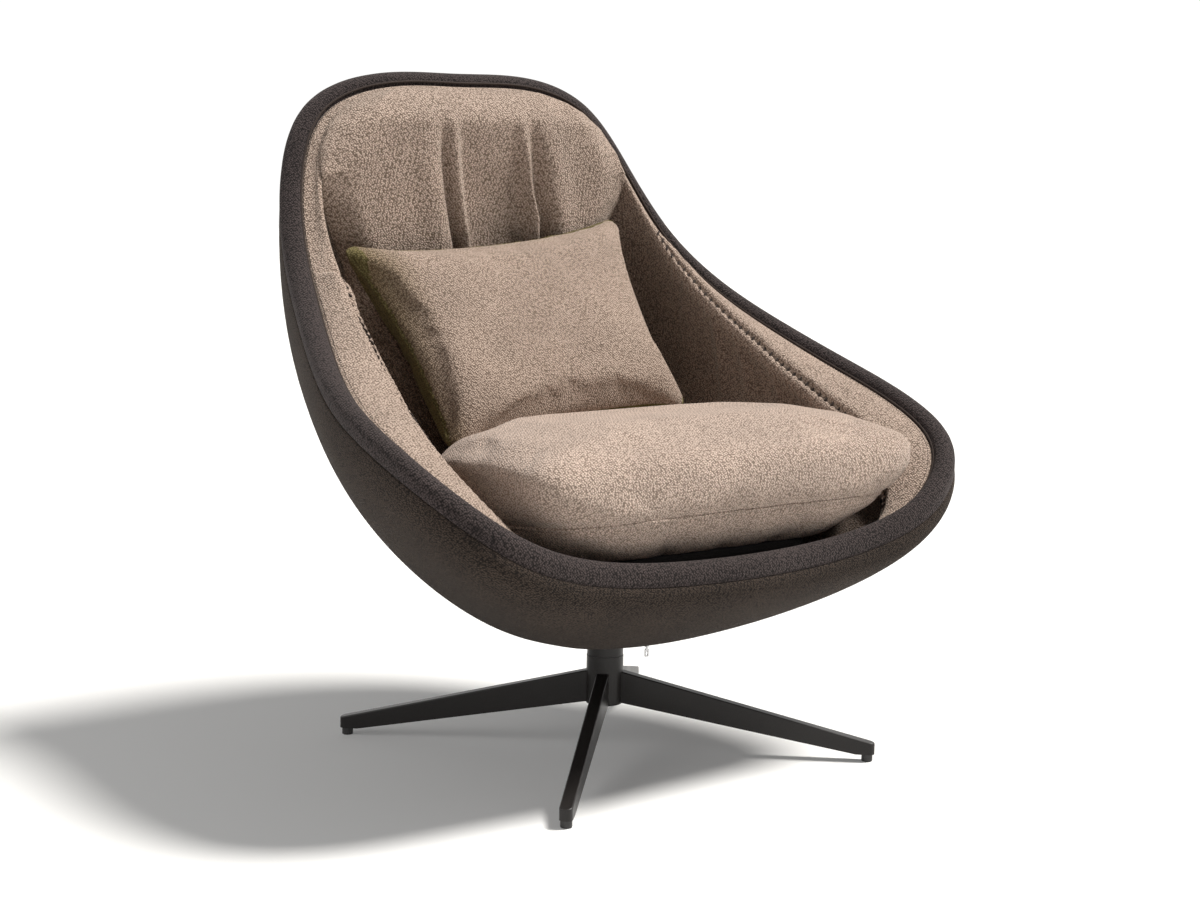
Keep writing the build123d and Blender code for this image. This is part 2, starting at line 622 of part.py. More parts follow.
# Swivel sleeve: tube round the spindle, with a skirt that hides the bearing
with BuildPart() as swivel_sleeve:
    with BuildSketch(Plane.XY.offset(UPPER_WASHER_HIGH)):
        Circle(SLEEVE_DIAMETER / 2)
        Circle(BUSH_OUTER, mode=Mode.SUBTRACT)
    extrude(amount=SLEEVE_TOP - UPPER_WASHER_HIGH)
    with BuildSketch(Plane.XY.offset(HUB_TOP + SKIRT_GAP)):
        Circle(SKIRT_DIAMETER / 2)
        Circle(THRUST_OUTER_DIAMETER / 2 + SKIRT_CLEARANCE, mode=Mode.SUBTRACT)
    extrude(amount=UPPER_WASHER_HIGH - HUB_TOP - SKIRT_GAP)
    with BuildSketch(Plane.XY.offset(UPPER_WASHER_HIGH)):
        Circle(SKIRT_DIAMETER / 2)
        Circle(BUSH_OUTER, mode=Mode.SUBTRACT)
    extrude(amount=SKIRT_HEIGHT)
write(swivel_sleeve, "swivel_sleeve")

# Bushes: plain bearings in the ends of the sleeve
for name, low in (("lower_bush", UPPER_WASHER_HIGH), ("upper_bush", SLEEVE_TOP - BUSH_LENGTH)):
    with BuildPart() as bush:
        with BuildSketch(Plane.XY.offset(low)):
            Circle(BUSH_OUTER)
            Circle(THRUST_BORE, mode=Mode.SUBTRACT)
        extrude(amount=BUSH_LENGTH)
    write(bush, name)

# Retaining washer and clip: hold the sleeve down on the spindle
with BuildPart() as retaining_washer:
    with BuildSketch(Plane.XY.offset(RETAINING_WASHER_LOW)):
        Circle(RETAINING_WASHER_DIAMETER / 2)
        Circle(THRUST_BORE, mode=Mode.SUBTRACT)
    extrude(amount=RETAINING_WASHER_THICKNESS)
write(retaining_washer, "retaining_washer")

with BuildPart() as retaining_clip:
    with BuildSketch(Plane.XY.offset(CLIP_LOW)):
        Circle(CLIP_DIAMETER / 2)
        Circle(SPINDLE_DIAMETER / 2 - CLIP_GROOVE_DEPTH + FIT_CLEARANCE, mode=Mode.SUBTRACT)
        Rectangle(CLIP_MOUTH, CLIP_DIAMETER, align=(Align.CENTER, Align.MIN), mode=Mode.SUBTRACT)
    extrude(amount=CLIP_THICKNESS)
write(retaining_clip, "retaining_clip")

# Swivel plate: flange welded on the sleeve and bolted to the floor of the shell core
with BuildPart() as swivel_plate:
    with BuildSketch(Plane.XY.offset(PLATE_LOW)):
        Circle(PLATE_DIAMETER / 2)
        Circle(SLEEVE_DIAMETER / 2, mode=Mode.SUBTRACT)
        with PLATE_BOLT_PLACES:
            Circle(PLATE_BOLT_DIAMETER / 2 + FIT_CLEARANCE, mode=Mode.SUBTRACT)
    extrude(amount=PLATE_THICKNESS)
write(swivel_plate, "swivel_plate")

with BuildPart() as plate_bolts:
    with BuildSketch(Plane.XY.offset(TEE_NUT_LOW)):
        with PLATE_BOLT_PLACES:
            Circle(PLATE_BOLT_DIAMETER / 2)
    extrude(amount=PLATE_HIGH - TEE_NUT_LOW)
    with BuildSketch(Plane.XY.offset(PLATE_HIGH)):
        with PLATE_BOLT_PLACES:
            RegularPolygon(PLATE_BOLT_HEAD_WIDTH / 2, 6, major_radius=False)
    extrude(amount=PLATE_BOLT_HEAD_HEIGHT)
write(plate_bolts, "plate_bolts")

with BuildPart() as tee_nuts:
    with BuildSketch(Plane.XY.offset(TEE_NUT_LOW)):
        with PLATE_BOLT_PLACES:
            Circle(TEE_NUT_FLANGE_DIAMETER / 2)
            Circle(PLATE_BOLT_DIAMETER / 2 + FIT_CLEARANCE, mode=Mode.SUBTRACT)
    extrude(amount=TEE_NUT_FLANGE_THICKNESS)
    with BuildSketch(Plane.XY.offset(CORE_FLOOR_LOW)):
        with PLATE_BOLT_PLACES:
            Circle(TEE_NUT_BARREL_DIAMETER / 2)
            Circle(PLATE_BOLT_DIAMETER / 2 + FIT_CLEARANCE, mode=Mode.SUBTRACT)
    extrude(amount=CORE_FLOOR_HIGH - CORE_FLOOR_LOW)
write(tee_nuts, "tee_nuts")

# Base panel: round fabric panel under the seat, inside the zip
with BuildPart() as base_panel:
    with BuildSketch(Plane.XY.offset(UNDERSIDE_HEIGHT)):
        Circle(ZIP_RADIUS - ZIP_TAPE_WIDTH / 2 - LAYER_GAP)
        Circle(COLUMN_HOLE, mode=Mode.SUBTRACT)
    extrude(amount=BASE_PANEL_THICKNESS)
write(base_panel, "base_panel")

# Cover zip: ring of tape between the cover and the base panel, with a raised ring of teeth
with BuildPart() as cover_zip:
    with BuildSketch(Plane.XY.offset(UNDERSIDE_HEIGHT)):
        Circle(ZIP_RADIUS + ZIP_TAPE_WIDTH / 2)
        Circle(ZIP_RADIUS - ZIP_TAPE_WIDTH / 2, mode=Mode.SUBTRACT)
    extrude(amount=ZIP_TAPE_THICKNESS)
    with BuildSketch(Plane.XY.offset(UNDERSIDE_HEIGHT)):
        Circle(ZIP_RADIUS + ZIP_TEETH_WIDTH / 2)
        Circle(ZIP_RADIUS - ZIP_TEETH_WIDTH / 2, mode=Mode.SUBTRACT)
    extrude(amount=-ZIP_TEETH_THICKNESS)
write(cover_zip, "cover_zip")

# Zip slider: hood over the teeth with two ears and a pin for the pull
with BuildPart() as zip_slider:
    with BuildSketch(SLIDER_PLANE):
        SlotOverall(SLIDER_LENGTH, SLIDER_WIDTH)
    extrude(amount=SLIDER_FLOOR - SLIDER_TOP)
    with BuildSketch(Plane.XY.offset(SLIDER_FLOOR + SLIDER_WALL)):
        Circle(ZIP_RADIUS + ZIP_TEETH_WIDTH / 2 + SLIDER_CLEARANCE)
        Circle(ZIP_RADIUS - ZIP_TEETH_WIDTH / 2 - SLIDER_CLEARANCE, mode=Mode.SUBTRACT)
    extrude(amount=SLIDER_TOP - SLIDER_FLOOR, mode=Mode.SUBTRACT)
    with BuildSketch(SLIDER_PLANE.offset(SLIDER_FLOOR - SLIDER_TOP)):
        with GridLocations(0, EAR_GAP + EAR_THICKNESS, 1, 2):
            Rectangle(EAR_LENGTH, EAR_THICKNESS)
    extrude(amount=-EAR_HEIGHT)
    with BuildSketch(PULL_PLANE):
        Circle(PULL_PIN_DIAMETER / 2)
    extrude(amount=EAR_GAP / 2, both=True)
write(zip_slider, "zip_slider")

# Zip pull: small slotted tab that hangs from the pin of the slider
with BuildPart() as zip_pull:
    with BuildSketch(PULL_PLANE):
        Circle(PULL_EYE_RADIUS)
        Rectangle(PULL_NECK_WIDTH, PULL_NECK + PULL_CORNER_RADIUS, align=(Align.CENTER, Align.MAX))
        with Locations((0, -PULL_DROP)):
            RectangleRounded(PULL_WIDTH, PULL_LENGTH, PULL_CORNER_RADIUS)
        Circle(PULL_PIN_DIAMETER / 2 + RUNNING_CLEARANCE, mode=Mode.SUBTRACT)
        with Locations((0, -PULL_DROP - PULL_SLOT_OFFSET)):
            SlotOverall(PULL_SLOT_LENGTH, PULL_SLOT_WIDTH, rotation=90, mode=Mode.SUBTRACT)
    extrude(amount=PULL_THICKNESS / 2, both=True)
write(zip_pull, "zip_pull")


def tub_outline(plane, front, front_half, widest, waist, rear, radii):
    """Rounded outline of a seat layer, mirrored left and right."""
    right = [(front_half, front), widest, waist, rear]
    left = [(-x, y) for x, y in reversed(right)]
    with BuildSketch(plane) as outline:
        with BuildLine():
            FilletPolyline(*right, *left, radius=[*radii, *reversed(radii)], close=True)
        make_face()
    return outline.sketch


def deck_outline(plane, inset):
    """Outline of the seat deck, drawn in by an inset."""
    half = DECK_HALF_WIDTH - inset
    rear = (DECK_REAR_HALF_WIDTH - inset, DECK_BACK - inset)
    waist = ((half + rear[0]) / 2 + DECK_WAIST_BOW, (DECK_WIDEST + rear[1]) / 2)
    radii = [DECK_CORNER_RADIUS - inset] * 4
    return tub_outline(
        plane, DECK_FRONT + inset, DECK_FRONT_HALF_WIDTH - inset, (half, DECK_WIDEST), waist, rear, radii
    )


def foam_foot(height):
    """Outline of the foot of the seat foam, which stands inside the ring of the lining."""
    half = FOAM_FOOT_HALF_WIDTH
    radii = [FOAM_FOOT_CORNER_RADIUS] * 4
    return tub_outline(
        Plane.XY.offset(height), -half, half / 2, (half, -half / 2), (half, half / 2), (half / 2, half), radii
    )


# Seat deck: board under the cushion
with BuildPart() as seat_deck:
    add(deck_outline(SEAT_PLANE, 0))
    extrude(amount=-DECK_THICKNESS)
write(seat_deck, "seat_deck")

# Seat foam: block between the swivel plate and the deck, hollow over the bolts and the spindle
with BuildPart() as seat_foam:
    loft([foam_foot(PLATE_HIGH), foam_foot(FOAM_NECK)])
    loft([foam_foot(FOAM_NECK), deck_outline(SEAT_PLANE.offset(-DECK_THICKNESS), FOAM_INSET)])
    with BuildSketch(Plane.XY.offset(PLATE_HIGH)):
        Circle(FOAM_WELL_DIAMETER / 2)
    extrude(amount=SPINDLE_TOP + FOAM_WELL_CLEARANCE - PLATE_HIGH, mode=Mode.SUBTRACT)
    with BuildSketch(Plane.XY.offset(PLATE_HIGH)):
        with PLATE_BOLT_PLACES:
            Circle(BOLT_WELL_DIAMETER / 2)
    extrude(amount=PLATE_BOLT_HEAD_HEIGHT + FOAM_WELL_CLEARANCE, mode=Mode.SUBTRACT)
write(seat_foam, "seat_foam")

# Seat cushion: loose, crowned, with sides that draw in towards the bowl of the shell
with BuildPart() as seat_cushion:
    broadest = max(widest[0] for _, _, _, widest, _, _ in CUSHION_OUTLINES)
    loft([
        tub_outline(
            SEAT_PLANE.offset(SEAT_GAP + height), front, front_half, widest, waist, rear,
            [radius * widest[0] / broadest for radius in CUSHION_RADII],
        )
        for height, front, front_half, widest, waist, rear in CUSHION_OUTLINES
    ])
write(seat_cushion, "seat_cushion")

# Back pad: lobes between sewn pleats, thicker towards the head
with BuildPart() as back_pad:
    for height, half, back, thickness in PAD_LEVELS:
        pleat = half * PLEAT_SHARE
        side_back = back - PAD_BACK_SAG
        side_front = side_back - thickness * PAD_SIDE_SHARE
        front = back - thickness
        lobe = (half + pleat) / 2
        with BuildSketch(Plane.XY.offset(height)):
            with BuildLine():
                ThreePointArc((-half, side_back), (0, back), (half, side_back))
                Line((half, side_back), (half, side_front))
                ThreePointArc((half, side_front), (lobe, front), (pleat, front + PLEAT_DEPTH))
                ThreePointArc((pleat, front + PLEAT_DEPTH), (0, front), (-pleat, front + PLEAT_DEPTH))
                ThreePointArc((-pleat, front + PLEAT_DEPTH), (-lobe, front), (-half, side_front))
                Line((-half, side_front), (-half, side_back))
            make_face()
    loft()
write(back_pad, "back_pad")


def pillow_outline(distance, width, height, bow):
    """Four bowed sides with rounded corners, parallel to the seam of the pillow."""
    right = width / 2
    top = height / 2
    turn_x = right - PILLOW_CORNER_RADIUS
    turn_y = top - PILLOW_CORNER_RADIUS
    with BuildSketch(PILLOW_PLANE.offset(distance)) as outline:
        with BuildLine():
            ThreePointArc((turn_x, -top), (0, -top - bow), (-turn_x, -top))
            RadiusArc((-turn_x, -top), (-right, -turn_y), PILLOW_CORNER_RADIUS)
            ThreePointArc((-right, -turn_y), (-right - bow, 0), (-right, turn_y))
            RadiusArc((-right, turn_y), (-turn_x, top), PILLOW_CORNER_RADIUS)
            ThreePointArc((-turn_x, top), (0, top + bow), (turn_x, top))
            RadiusArc((turn_x, top), (right, turn_y), PILLOW_CORNER_RADIUS)
            ThreePointArc((right, turn_y), (right + bow, 0), (right, -turn_y))
            RadiusArc((right, -turn_y), (turn_x, -top), PILLOW_CORNER_RADIUS)
        make_face()
    return outline.sketch


# Lumbar pillow: loose, with sides that draw in between the corners of its seam
with BuildPart() as lumbar_pillow:
    for outlines in (PILLOW_FRONT_OUTLINES, PILLOW_BACK_OUTLINES):
        loft([pillow_outline(*outline) for outline in (PILLOW_SEAM, *outlines)])
write(lumbar_pillow, "lumbar_pillow")
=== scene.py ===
"""Looks of the swivel barrel chair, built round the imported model. Metres, in the frame of the CAD."""
import math

import bmesh
import bpy
import numpy as np
from mathutils import Matrix, Vector, noise
from mathutils.bvhtree import BVHTree


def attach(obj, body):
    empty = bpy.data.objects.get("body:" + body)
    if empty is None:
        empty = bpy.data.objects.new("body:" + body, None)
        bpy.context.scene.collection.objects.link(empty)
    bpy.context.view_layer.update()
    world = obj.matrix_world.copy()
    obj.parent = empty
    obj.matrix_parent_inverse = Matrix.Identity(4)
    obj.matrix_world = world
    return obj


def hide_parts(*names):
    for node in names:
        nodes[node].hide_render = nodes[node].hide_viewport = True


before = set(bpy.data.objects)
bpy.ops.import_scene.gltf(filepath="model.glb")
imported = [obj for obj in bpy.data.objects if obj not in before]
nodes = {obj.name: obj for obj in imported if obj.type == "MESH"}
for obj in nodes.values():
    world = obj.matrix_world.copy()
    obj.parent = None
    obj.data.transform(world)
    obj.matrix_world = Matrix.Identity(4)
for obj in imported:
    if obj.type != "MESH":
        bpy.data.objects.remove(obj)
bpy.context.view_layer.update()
scene = bpy.context.scene

# Rim and wall of the shell: the values of the part's source, with the roll up to 11 mm fuller at the arms
# and at the top of the back
RIM_POINTS = np.array((
    (0, -271, 310), (118, -268, 313), (233, -268, 328), (335, -266, 365), (405, -227, 419),
    (430, -129, 470), (419, -8, 515), (389, 92, 560), (354, 188, 614), (323, 275, 687),
    (291, 337, 781), (238, 370, 866), (136, 374, 906), (0, 372, 910),
)) * 0.001
BASE_RING = 0.095
UNDERSIDE = 0.163
FLOOR_REACH = (0.040, 0.110, 0.152)
WALL_BULGE = (0.012, 0.021, 0.010)
WALL_RISE = (0.36, 0.38, 0.63)
LINING_DEPTH = (0.040, 0.052, 0.050)
BORDER_WIDTHS = ((-90, 25), (-50, 25), (-42, 42), (-32, 84), (-10, 98), (4, 91), (14, 80), (28, 67), (50, 43),
                 (90, 35))
ROLL = 0.015
ROLL_HEIGHT = 0.030
ROLL_GAP = 0.0008
LINING_DROP = (0.012, 0.015, 0.016)
SHOULDER_RISE = (0.014, 0.044, 0.020)
STATIONS = 840


def smooth(value, low, high):
    """Smooth step from 0 at low to 1 at high."""
    t = np.clip((value - low) / (high - low), 0.0, 1.0)
    return t * t * (3 - 2 * t)


def bump(value, center, width):
    """Bell of height 1 round a centre."""
    return np.exp(-((value - center) / width) ** 2)


def soften(values, times):
    """Values round a closed row, averaged with their neighbours."""
    for _ in range(times):
        values = (np.roll(values, 1, 0) + values * 2 + np.roll(values, -1, 0)) / 4
    return values


def closed_spline(points, count):
    """Even points along a smooth closed curve through the given points."""
    n = len(points)
    step = np.linalg.norm(np.roll(points, -1, 0) - points, axis=1)
    matrix = np.zeros((n, n))
    right = np.zeros((n, 3))
    for i in range(n):
        before, after = step[i - 1], step[i]
        matrix[i, (i - 1) % n] += before
        matrix[i, i] += 2 * (before + after)
        matrix[i, (i + 1) % n] += after
        right[i] = 6 * ((points[(i + 1) % n] - points[i]) / after - (points[i] - points[i - 1]) / before)
    second = np.linalg.solve(matrix, right)
    dense = []
    for i in range(n):
        k = (i + 1) % n
        h = step[i]
        for t in np.linspace(0, h, 200, endpoint=False):
            a, b = h - t, t
            dense.append((second[i] * a ** 3 + second[k] * b ** 3) / (6 * h)
                         + (points[i] / h - second[i] * h / 6) * a + (points[k] / h - second[k] * h / 6) * b)
    dense = np.array(dense + [dense[0]])
    length = np.concatenate([[0], np.cumsum(np.linalg.norm(np.diff(dense, axis=0), axis=1))])
    places = np.linspace(0, length[-1], count, endpoint=False)
    return np.stack([np.interp(places, length, dense[:, axis]) for axis in range(3)], 1), length[-1]


left_rim = RIM_POINTS[1:-1][::-1] * (-1, 1, 1)
RIDGE, RIM_LENGTH = closed_spline(np.concatenate([RIM_POINTS, left_rim]), STATIONS)
ANGLE = np.arctan2(RIDGE[:, 1], RIDGE[:, 0])
REACH = np.hypot(RIDGE[:, 0], RIDGE[:, 1])
HEIGHT = RIDGE[:, 2]
ALONG = np.arange(STATIONS) * RIM_LENGTH / STATIONS


def mix(values):
    """Front, side and back value of a size, mixed for every station."""
    front, side, back = values
    to_back = np.clip(np.sin(ANGLE), 0, None) ** 2
    to_front = np.clip(-np.sin(ANGLE), 0, None) ** 2
    return front * to_front + back * to_back + side * (1 - to_back - to_front)


def wall_poles(low, high):
    """Poles of the wall curve of every station, moved in by a depth at the underside and one at the top."""
    edge = REACH + ROLL
    top = HEIGHT - ROLL_HEIGHT - ROLL_GAP
    rise = mix(WALL_RISE) * (top - UNDERSIDE)
    flat = np.full(STATIONS, UNDERSIDE)
    ring = np.full(STATIONS, BASE_RING)
    poles = np.stack([
        np.stack([ring, flat], 1),
        np.stack([ring + mix(FLOOR_REACH), flat], 1),
        np.stack([edge + mix(WALL_BULGE), top - rise], 1),
        np.stack([edge, top], 1),
    ], 1)
    legs = np.diff(poles, axis=1)
    legs /= np.linalg.norm(legs, axis=2, keepdims=True)
    normals = np.stack([-legs[:, :, 1], legs[:, :, 0]], 2)
    low = np.broadcast_to(low, (STATIONS,))[:, None]
    high = np.broadcast_to(high, (STATIONS,))[:, None]
    moved = [poles[:, 0] + normals[:, 0] * low]
    for k, depth in ((1, low), (2, (low + high) / 2)):
        before, after = normals[:, k - 1], normals[:, k]
        share = depth / (1 + np.sum(before * after, 1, keepdims=True))
        moved.append(poles[:, k] + (before + after) * share)
    moved.append(poles[:, 3] + normals[:, 2] * high)
    return np.stack(moved, 1)


def bezier(poles, t):
    """Points of cubic curves, one for every station."""
    t = np.asarray(t)[None, :, None]
    p = [poles[:, k][:, None, :] for k in range(4)]
    return p[0] * (1 - t) ** 3 + 3 * p[1] * t * (1 - t) ** 2 + 3 * p[2] * t ** 2 * (1 - t) + p[3] * t ** 3


def lift(flat):
    """Points of the meridian planes, reach and height, as points in space."""
    c = np.cos(ANGLE)[:, None]
    s = np.sin(ANGLE)[:, None]
    return np.stack([flat[..., 0] * c, flat[..., 0] * s, flat[..., 1]], -1)


def grid_faces(rows, columns, close_rows=False, close_columns=False):
    """Quads of a grid of points, row by row."""
    faces = []
    for i in range(rows if close_rows else rows - 1):
        for j in range(columns if close_columns else columns - 1):
            a, b = i, (i + 1) % rows
            c, d = j, (j + 1) % columns
            faces.append((a * columns + c, b * columns + c, b * columns + d, a * columns + d))
    return faces


def piece(name, points, faces, body, materials, outward=False):
    """A smooth mesh piece that rides on a body."""
    mesh = bpy.data.meshes.new(name)
    mesh.from_pydata([tuple(p) for p in np.asarray(points).reshape(-1, 3)], [], faces)
    mesh.update()
    if outward:
        work = bmesh.new()
        work.from_mesh(mesh)
        bmesh.ops.recalc_face_normals(work, faces=work.faces)
        work.to_mesh(mesh)
        work.free()
    obj = bpy.data.objects.new(name, mesh)
    scene.collection.objects.link(obj)
    return dress(obj, body, materials)


def dress(obj, body, materials):
    """Smooth shading, materials and body of a piece."""
    obj.data.shade_smooth()
    obj.data.materials.clear()
    for material in materials if isinstance(materials, (list, tuple)) else [materials]:
        obj.data.materials.append(material)
    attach(obj, body)
    return obj


def tube(path, radius, sides=8, closed=True):
    """Points and faces of a round tube along a path."""
    path = np.asarray(path)
    ahead = np.roll(path, -1, 0) - np.roll(path, 1, 0)
    if not closed:
        ahead[0] = path[1] - path[0]
        ahead[-1] = path[-1] - path[-2]
    ahead /= np.linalg.norm(ahead, axis=1, keepdims=True)
    side = np.cross(ahead, (0, 0, 1.0))
    weak = np.linalg.norm(side, axis=1) < 1e-3
    side[weak] = (1, 0, 0)
    side /= np.linalg.norm(side, axis=1, keepdims=True)
    over = np.cross(side, ahead)
    turn = np.linspace(0, 2 * math.pi, sides, endpoint=False)
    points = path[:, None] + radius * (np.cos(turn)[None, :, None] * side[:, None]
                                       + np.sin(turn)[None, :, None] * over[:, None])
    return points, grid_faces(len(path), sides, closed, True)


# Materials
def new_material(name):
    """An empty node material with its Principled shader."""
    material = bpy.data.materials.new(name)
    material.use_nodes = True
    tree = material.node_tree
    shader = tree.nodes["Principled BSDF"]
    return material, tree, shader


def node(tree, kind, values=(), links=()):
    """Add a node, set input values and links by socket name or number."""
    made = tree.nodes.new(kind)
    for key, value in dict(values).items():
        if isinstance(key, str) and hasattr(made, key) and key not in made.inputs:
            setattr(made, key, value)
        else:
            made.inputs[key].default_value = value
    for key, source in dict(links).items():
        tree.links.new(source, made.inputs[key])
    return made


def ramp(tree, source, stops):
    """A colour ramp fed by a value."""
    made = tree.nodes.new("ShaderNodeValToRGB")
    tree.links.new(source, made.inputs[0])
    elements = made.color_ramp.elements
    while len(elements) < len(stops):
        elements.new(0.5)
    for element, (place, color) in zip(elements, stops):
        element.position = place
        element.color = (*color, 1)
    return made


def fabric(name, dark, light, cell, depth, sheen, mottle=0.16, painted_shade_and_olive_tint=None, stretch=(1, 1, 1)):
    """Pebbled woven cloth: grains, fibres and slow changes of shade."""
    material, tree, shader = new_material(name)
    place = node(tree, "ShaderNodeTexCoord")
    spread = node(tree, "ShaderNodeMapping", {"Scale": stretch, "Rotation": (0.4, 0.5, 0.6)},
                  {"Vector": place.outputs["Object"]})
    grain = node(tree, "ShaderNodeTexVoronoi", {"Scale": 1 / cell, "Randomness": 0.62},
                 {"Vector": spread.outputs[0]})
    fibre = node(tree, "ShaderNodeTexNoise", {"Scale": 2.2 / cell, "Detail": 2.0},
                 {"Vector": place.outputs["Object"]})
    slow = node(tree, "ShaderNodeTexNoise", {"Scale": 11.0, "Detail": 3.0, "Roughness": 0.6},
                {"Vector": place.outputs["Object"]})
    height = node(tree, "ShaderNodeMath", {"operation": "MULTIPLY_ADD", 1: -1.25, 2: 1.0},
                  {0: grain.outputs["Distance"]})
    rough = node(tree, "ShaderNodeMath", {"operation": "MULTIPLY_ADD", 1: 0.35},
                 {0: fibre.outputs[0], 2: height.outputs[0]})
    color = ramp(tree, rough.outputs[0], [(0.32, dark), (0.92, light)])
    shade = ramp(tree, slow.outputs[0], [(0.3, (1 - mottle,) * 3), (0.7, (1.0, 1.0, 1.0))])
    shaded = node(tree, "ShaderNodeMix", {"data_type": "RGBA", "blend_type": "MULTIPLY", 0: 1.0},
                  {6: color.outputs[0], 7: shade.outputs[0]})
    last = shaded.outputs[2]
    # An attribute multiplies the colour: painted shade on the lining wall, the olive edge on the pillow
    if painted_shade_and_olive_tint:
        mark = node(tree, "ShaderNodeAttribute", {"attribute_name": "painted_shade_and_olive_tint"})
        toned = node(tree, "ShaderNodeMix", {"data_type": "RGBA", "blend_type": "MULTIPLY", 7: (*painted_shade_and_olive_tint, 1)},
                     {0: mark.outputs["Fac"], 6: last})
        last = toned.outputs[2]
    tree.links.new(last, shader.inputs["Base Color"])
    lumps = node(tree, "ShaderNodeBump", {"Strength": 0.8, "Distance": depth}, {"Height": rough.outputs[0]})
    tree.links.new(lumps.outputs[0], shader.inputs["Normal"])
    shader.inputs["Roughness"].default_value = 0.92
    shader.inputs["Specular IOR Level"].default_value = 0.2
    shader.inputs["Sheen Weight"].default_value = sheen
    shader.inputs["Sheen Roughness"].default_value = 0.45
    shader.inputs["Sheen Tint"].default_value = (*[min(1.0, c * 1.6 + 0.2) for c in light], 1)
    return material


def hard(name, dark, light, scale, roughness, metal, depth=0.0002, coat=0.0):
    """Painted, bare or moulded hard surface with slight wear in its colour and gloss."""
    material, tree, shader = new_material(name)
    place = node(tree, "ShaderNodeTexCoord")
    fine = node(tree, "ShaderNodeTexNoise", {"Scale": scale, "Detail": 4.0},
                {"Vector": place.outputs["Object"]})
    slow = node(tree, "ShaderNodeTexNoise", {"Scale": 9.0, "Detail": 2.0},
                {"Vector": place.outputs["Object"]})
    color = ramp(tree, fine.outputs[0], [(0.3, dark), (0.7, light)])
    gloss = ramp(tree, slow.outputs[0], [(0.3, (roughness * 0.85,) * 3), (0.7, (roughness * 1.15,) * 3)])
    lumps = node(tree, "ShaderNodeBump", {"Strength": 0.35, "Distance": depth}, {"Height": fine.outputs[0]})
    tree.links.new(color.outputs[0], shader.inputs["Base Color"])
    tree.links.new(gloss.outputs[0], shader.inputs["Roughness"])
    tree.links.new(lumps.outputs[0], shader.inputs["Normal"])
    shader.inputs["Metallic"].default_value = metal
    shader.inputs["Coat Weight"].default_value = coat
    return material


TAUPE_DARK = (0.180, 0.130, 0.098)
TAUPE_LIGHT = (0.680, 0.525, 0.435)
KNIT_STRETCH = (1, 1.2, 1.1)
# Multiplier of the lining's colour below its border: painted shade of the seat's hollow
LINING_PAINTED_SHADE = (0.56, 0.53, 0.51)
PILLOW_EDGE_TINT = (0.42, 0.39, 0.21)
taupe = fabric("taupe_knit", TAUPE_DARK, TAUPE_LIGHT, 0.0029, 0.0021, 0.2, stretch=KNIT_STRETCH)
lining_cloth = fabric("lining_knit", TAUPE_DARK, TAUPE_LIGHT, 0.0029, 0.0021, 0.2, painted_shade_and_olive_tint=LINING_PAINTED_SHADE,
                      stretch=KNIT_STRETCH)
cushion_cloth = fabric("cushion_knit", (0.250, 0.186, 0.145), (0.755, 0.590, 0.495), 0.0027, 0.0019, 0.2,
                       stretch=KNIT_STRETCH)
pillow_front = fabric("pillow_knit", TAUPE_DARK, (0.600, 0.462, 0.380), 0.0025, 0.0018, 0.2,
                      painted_shade_and_olive_tint=PILLOW_EDGE_TINT)
olive = fabric("olive_knit", (0.070, 0.056, 0.020), (0.215, 0.180, 0.078), 0.0028, 0.0012, 0.15)
shell_cloth = fabric("espresso_weave", (0.010, 0.007, 0.0055), (0.072, 0.052, 0.040), 0.0027, 0.0014, 0.08,
                     mottle=0.25, stretch=(1, 1, 1.5))
rim_cloth = fabric("charcoal_weave", (0.010, 0.0075, 0.0072), (0.076, 0.058, 0.056), 0.0026, 0.0014, 0.22,
                   mottle=0.2)
black_cloth = fabric("black_cloth", (0.006, 0.005, 0.005), (0.020, 0.017, 0.016), 0.0016, 0.0004, 0.05)
# Dark thread, which along the border seam is also painted shade of the puckers
thread_and_pucker_shade = fabric("thread_and_pucker_shade_cloth", (0.030, 0.022, 0.019), (0.075, 0.056, 0.048), 0.0010, 0.0003, 0.1)
black_metal = hard("satin_black", (0.010, 0.0085, 0.008), (0.017, 0.0145, 0.0135), 900.0, 0.42, 0.0,
                   coat=0.04)
black_metal.node_tree.nodes["Principled BSDF"].inputs["Specular IOR Level"].default_value = 0.3
steel = hard("plain_steel", (0.42, 0.42, 0.43), (0.58, 0.58, 0.59), 400.0, 0.32, 1.0)
zip_metal = hard("zip_metal", (0.36, 0.36, 0.37), (0.62, 0.62, 0.63), 500.0, 0.25, 1.0)
nylon = hard("black_nylon", (0.016, 0.015, 0.015), (0.028, 0.027, 0.027), 700.0, 0.5, 0.0)
moulding = hard("moulded_shell", (0.18, 0.17, 0.16), (0.26, 0.25, 0.23), 200.0, 0.6, 0.0)

# Shell skin: the outer cover from the underside up to a tucked edge below the roll
skin = bezier(wall_poles(0.0, 0.0), np.linspace(0, 1, 56))
start = skin[:, :1] + np.array([[[-0.0025, 0.0004]]])
end = skin[:, -1:]
tuck = np.concatenate([end + np.array([[[-0.0006, 0.0016]]]), end + np.array([[[-0.003, 0.0030]]]),
                       end + np.array([[[-0.009, 0.0032]]])], 1)
skin = lift(np.concatenate([start, skin, tuck], 1))

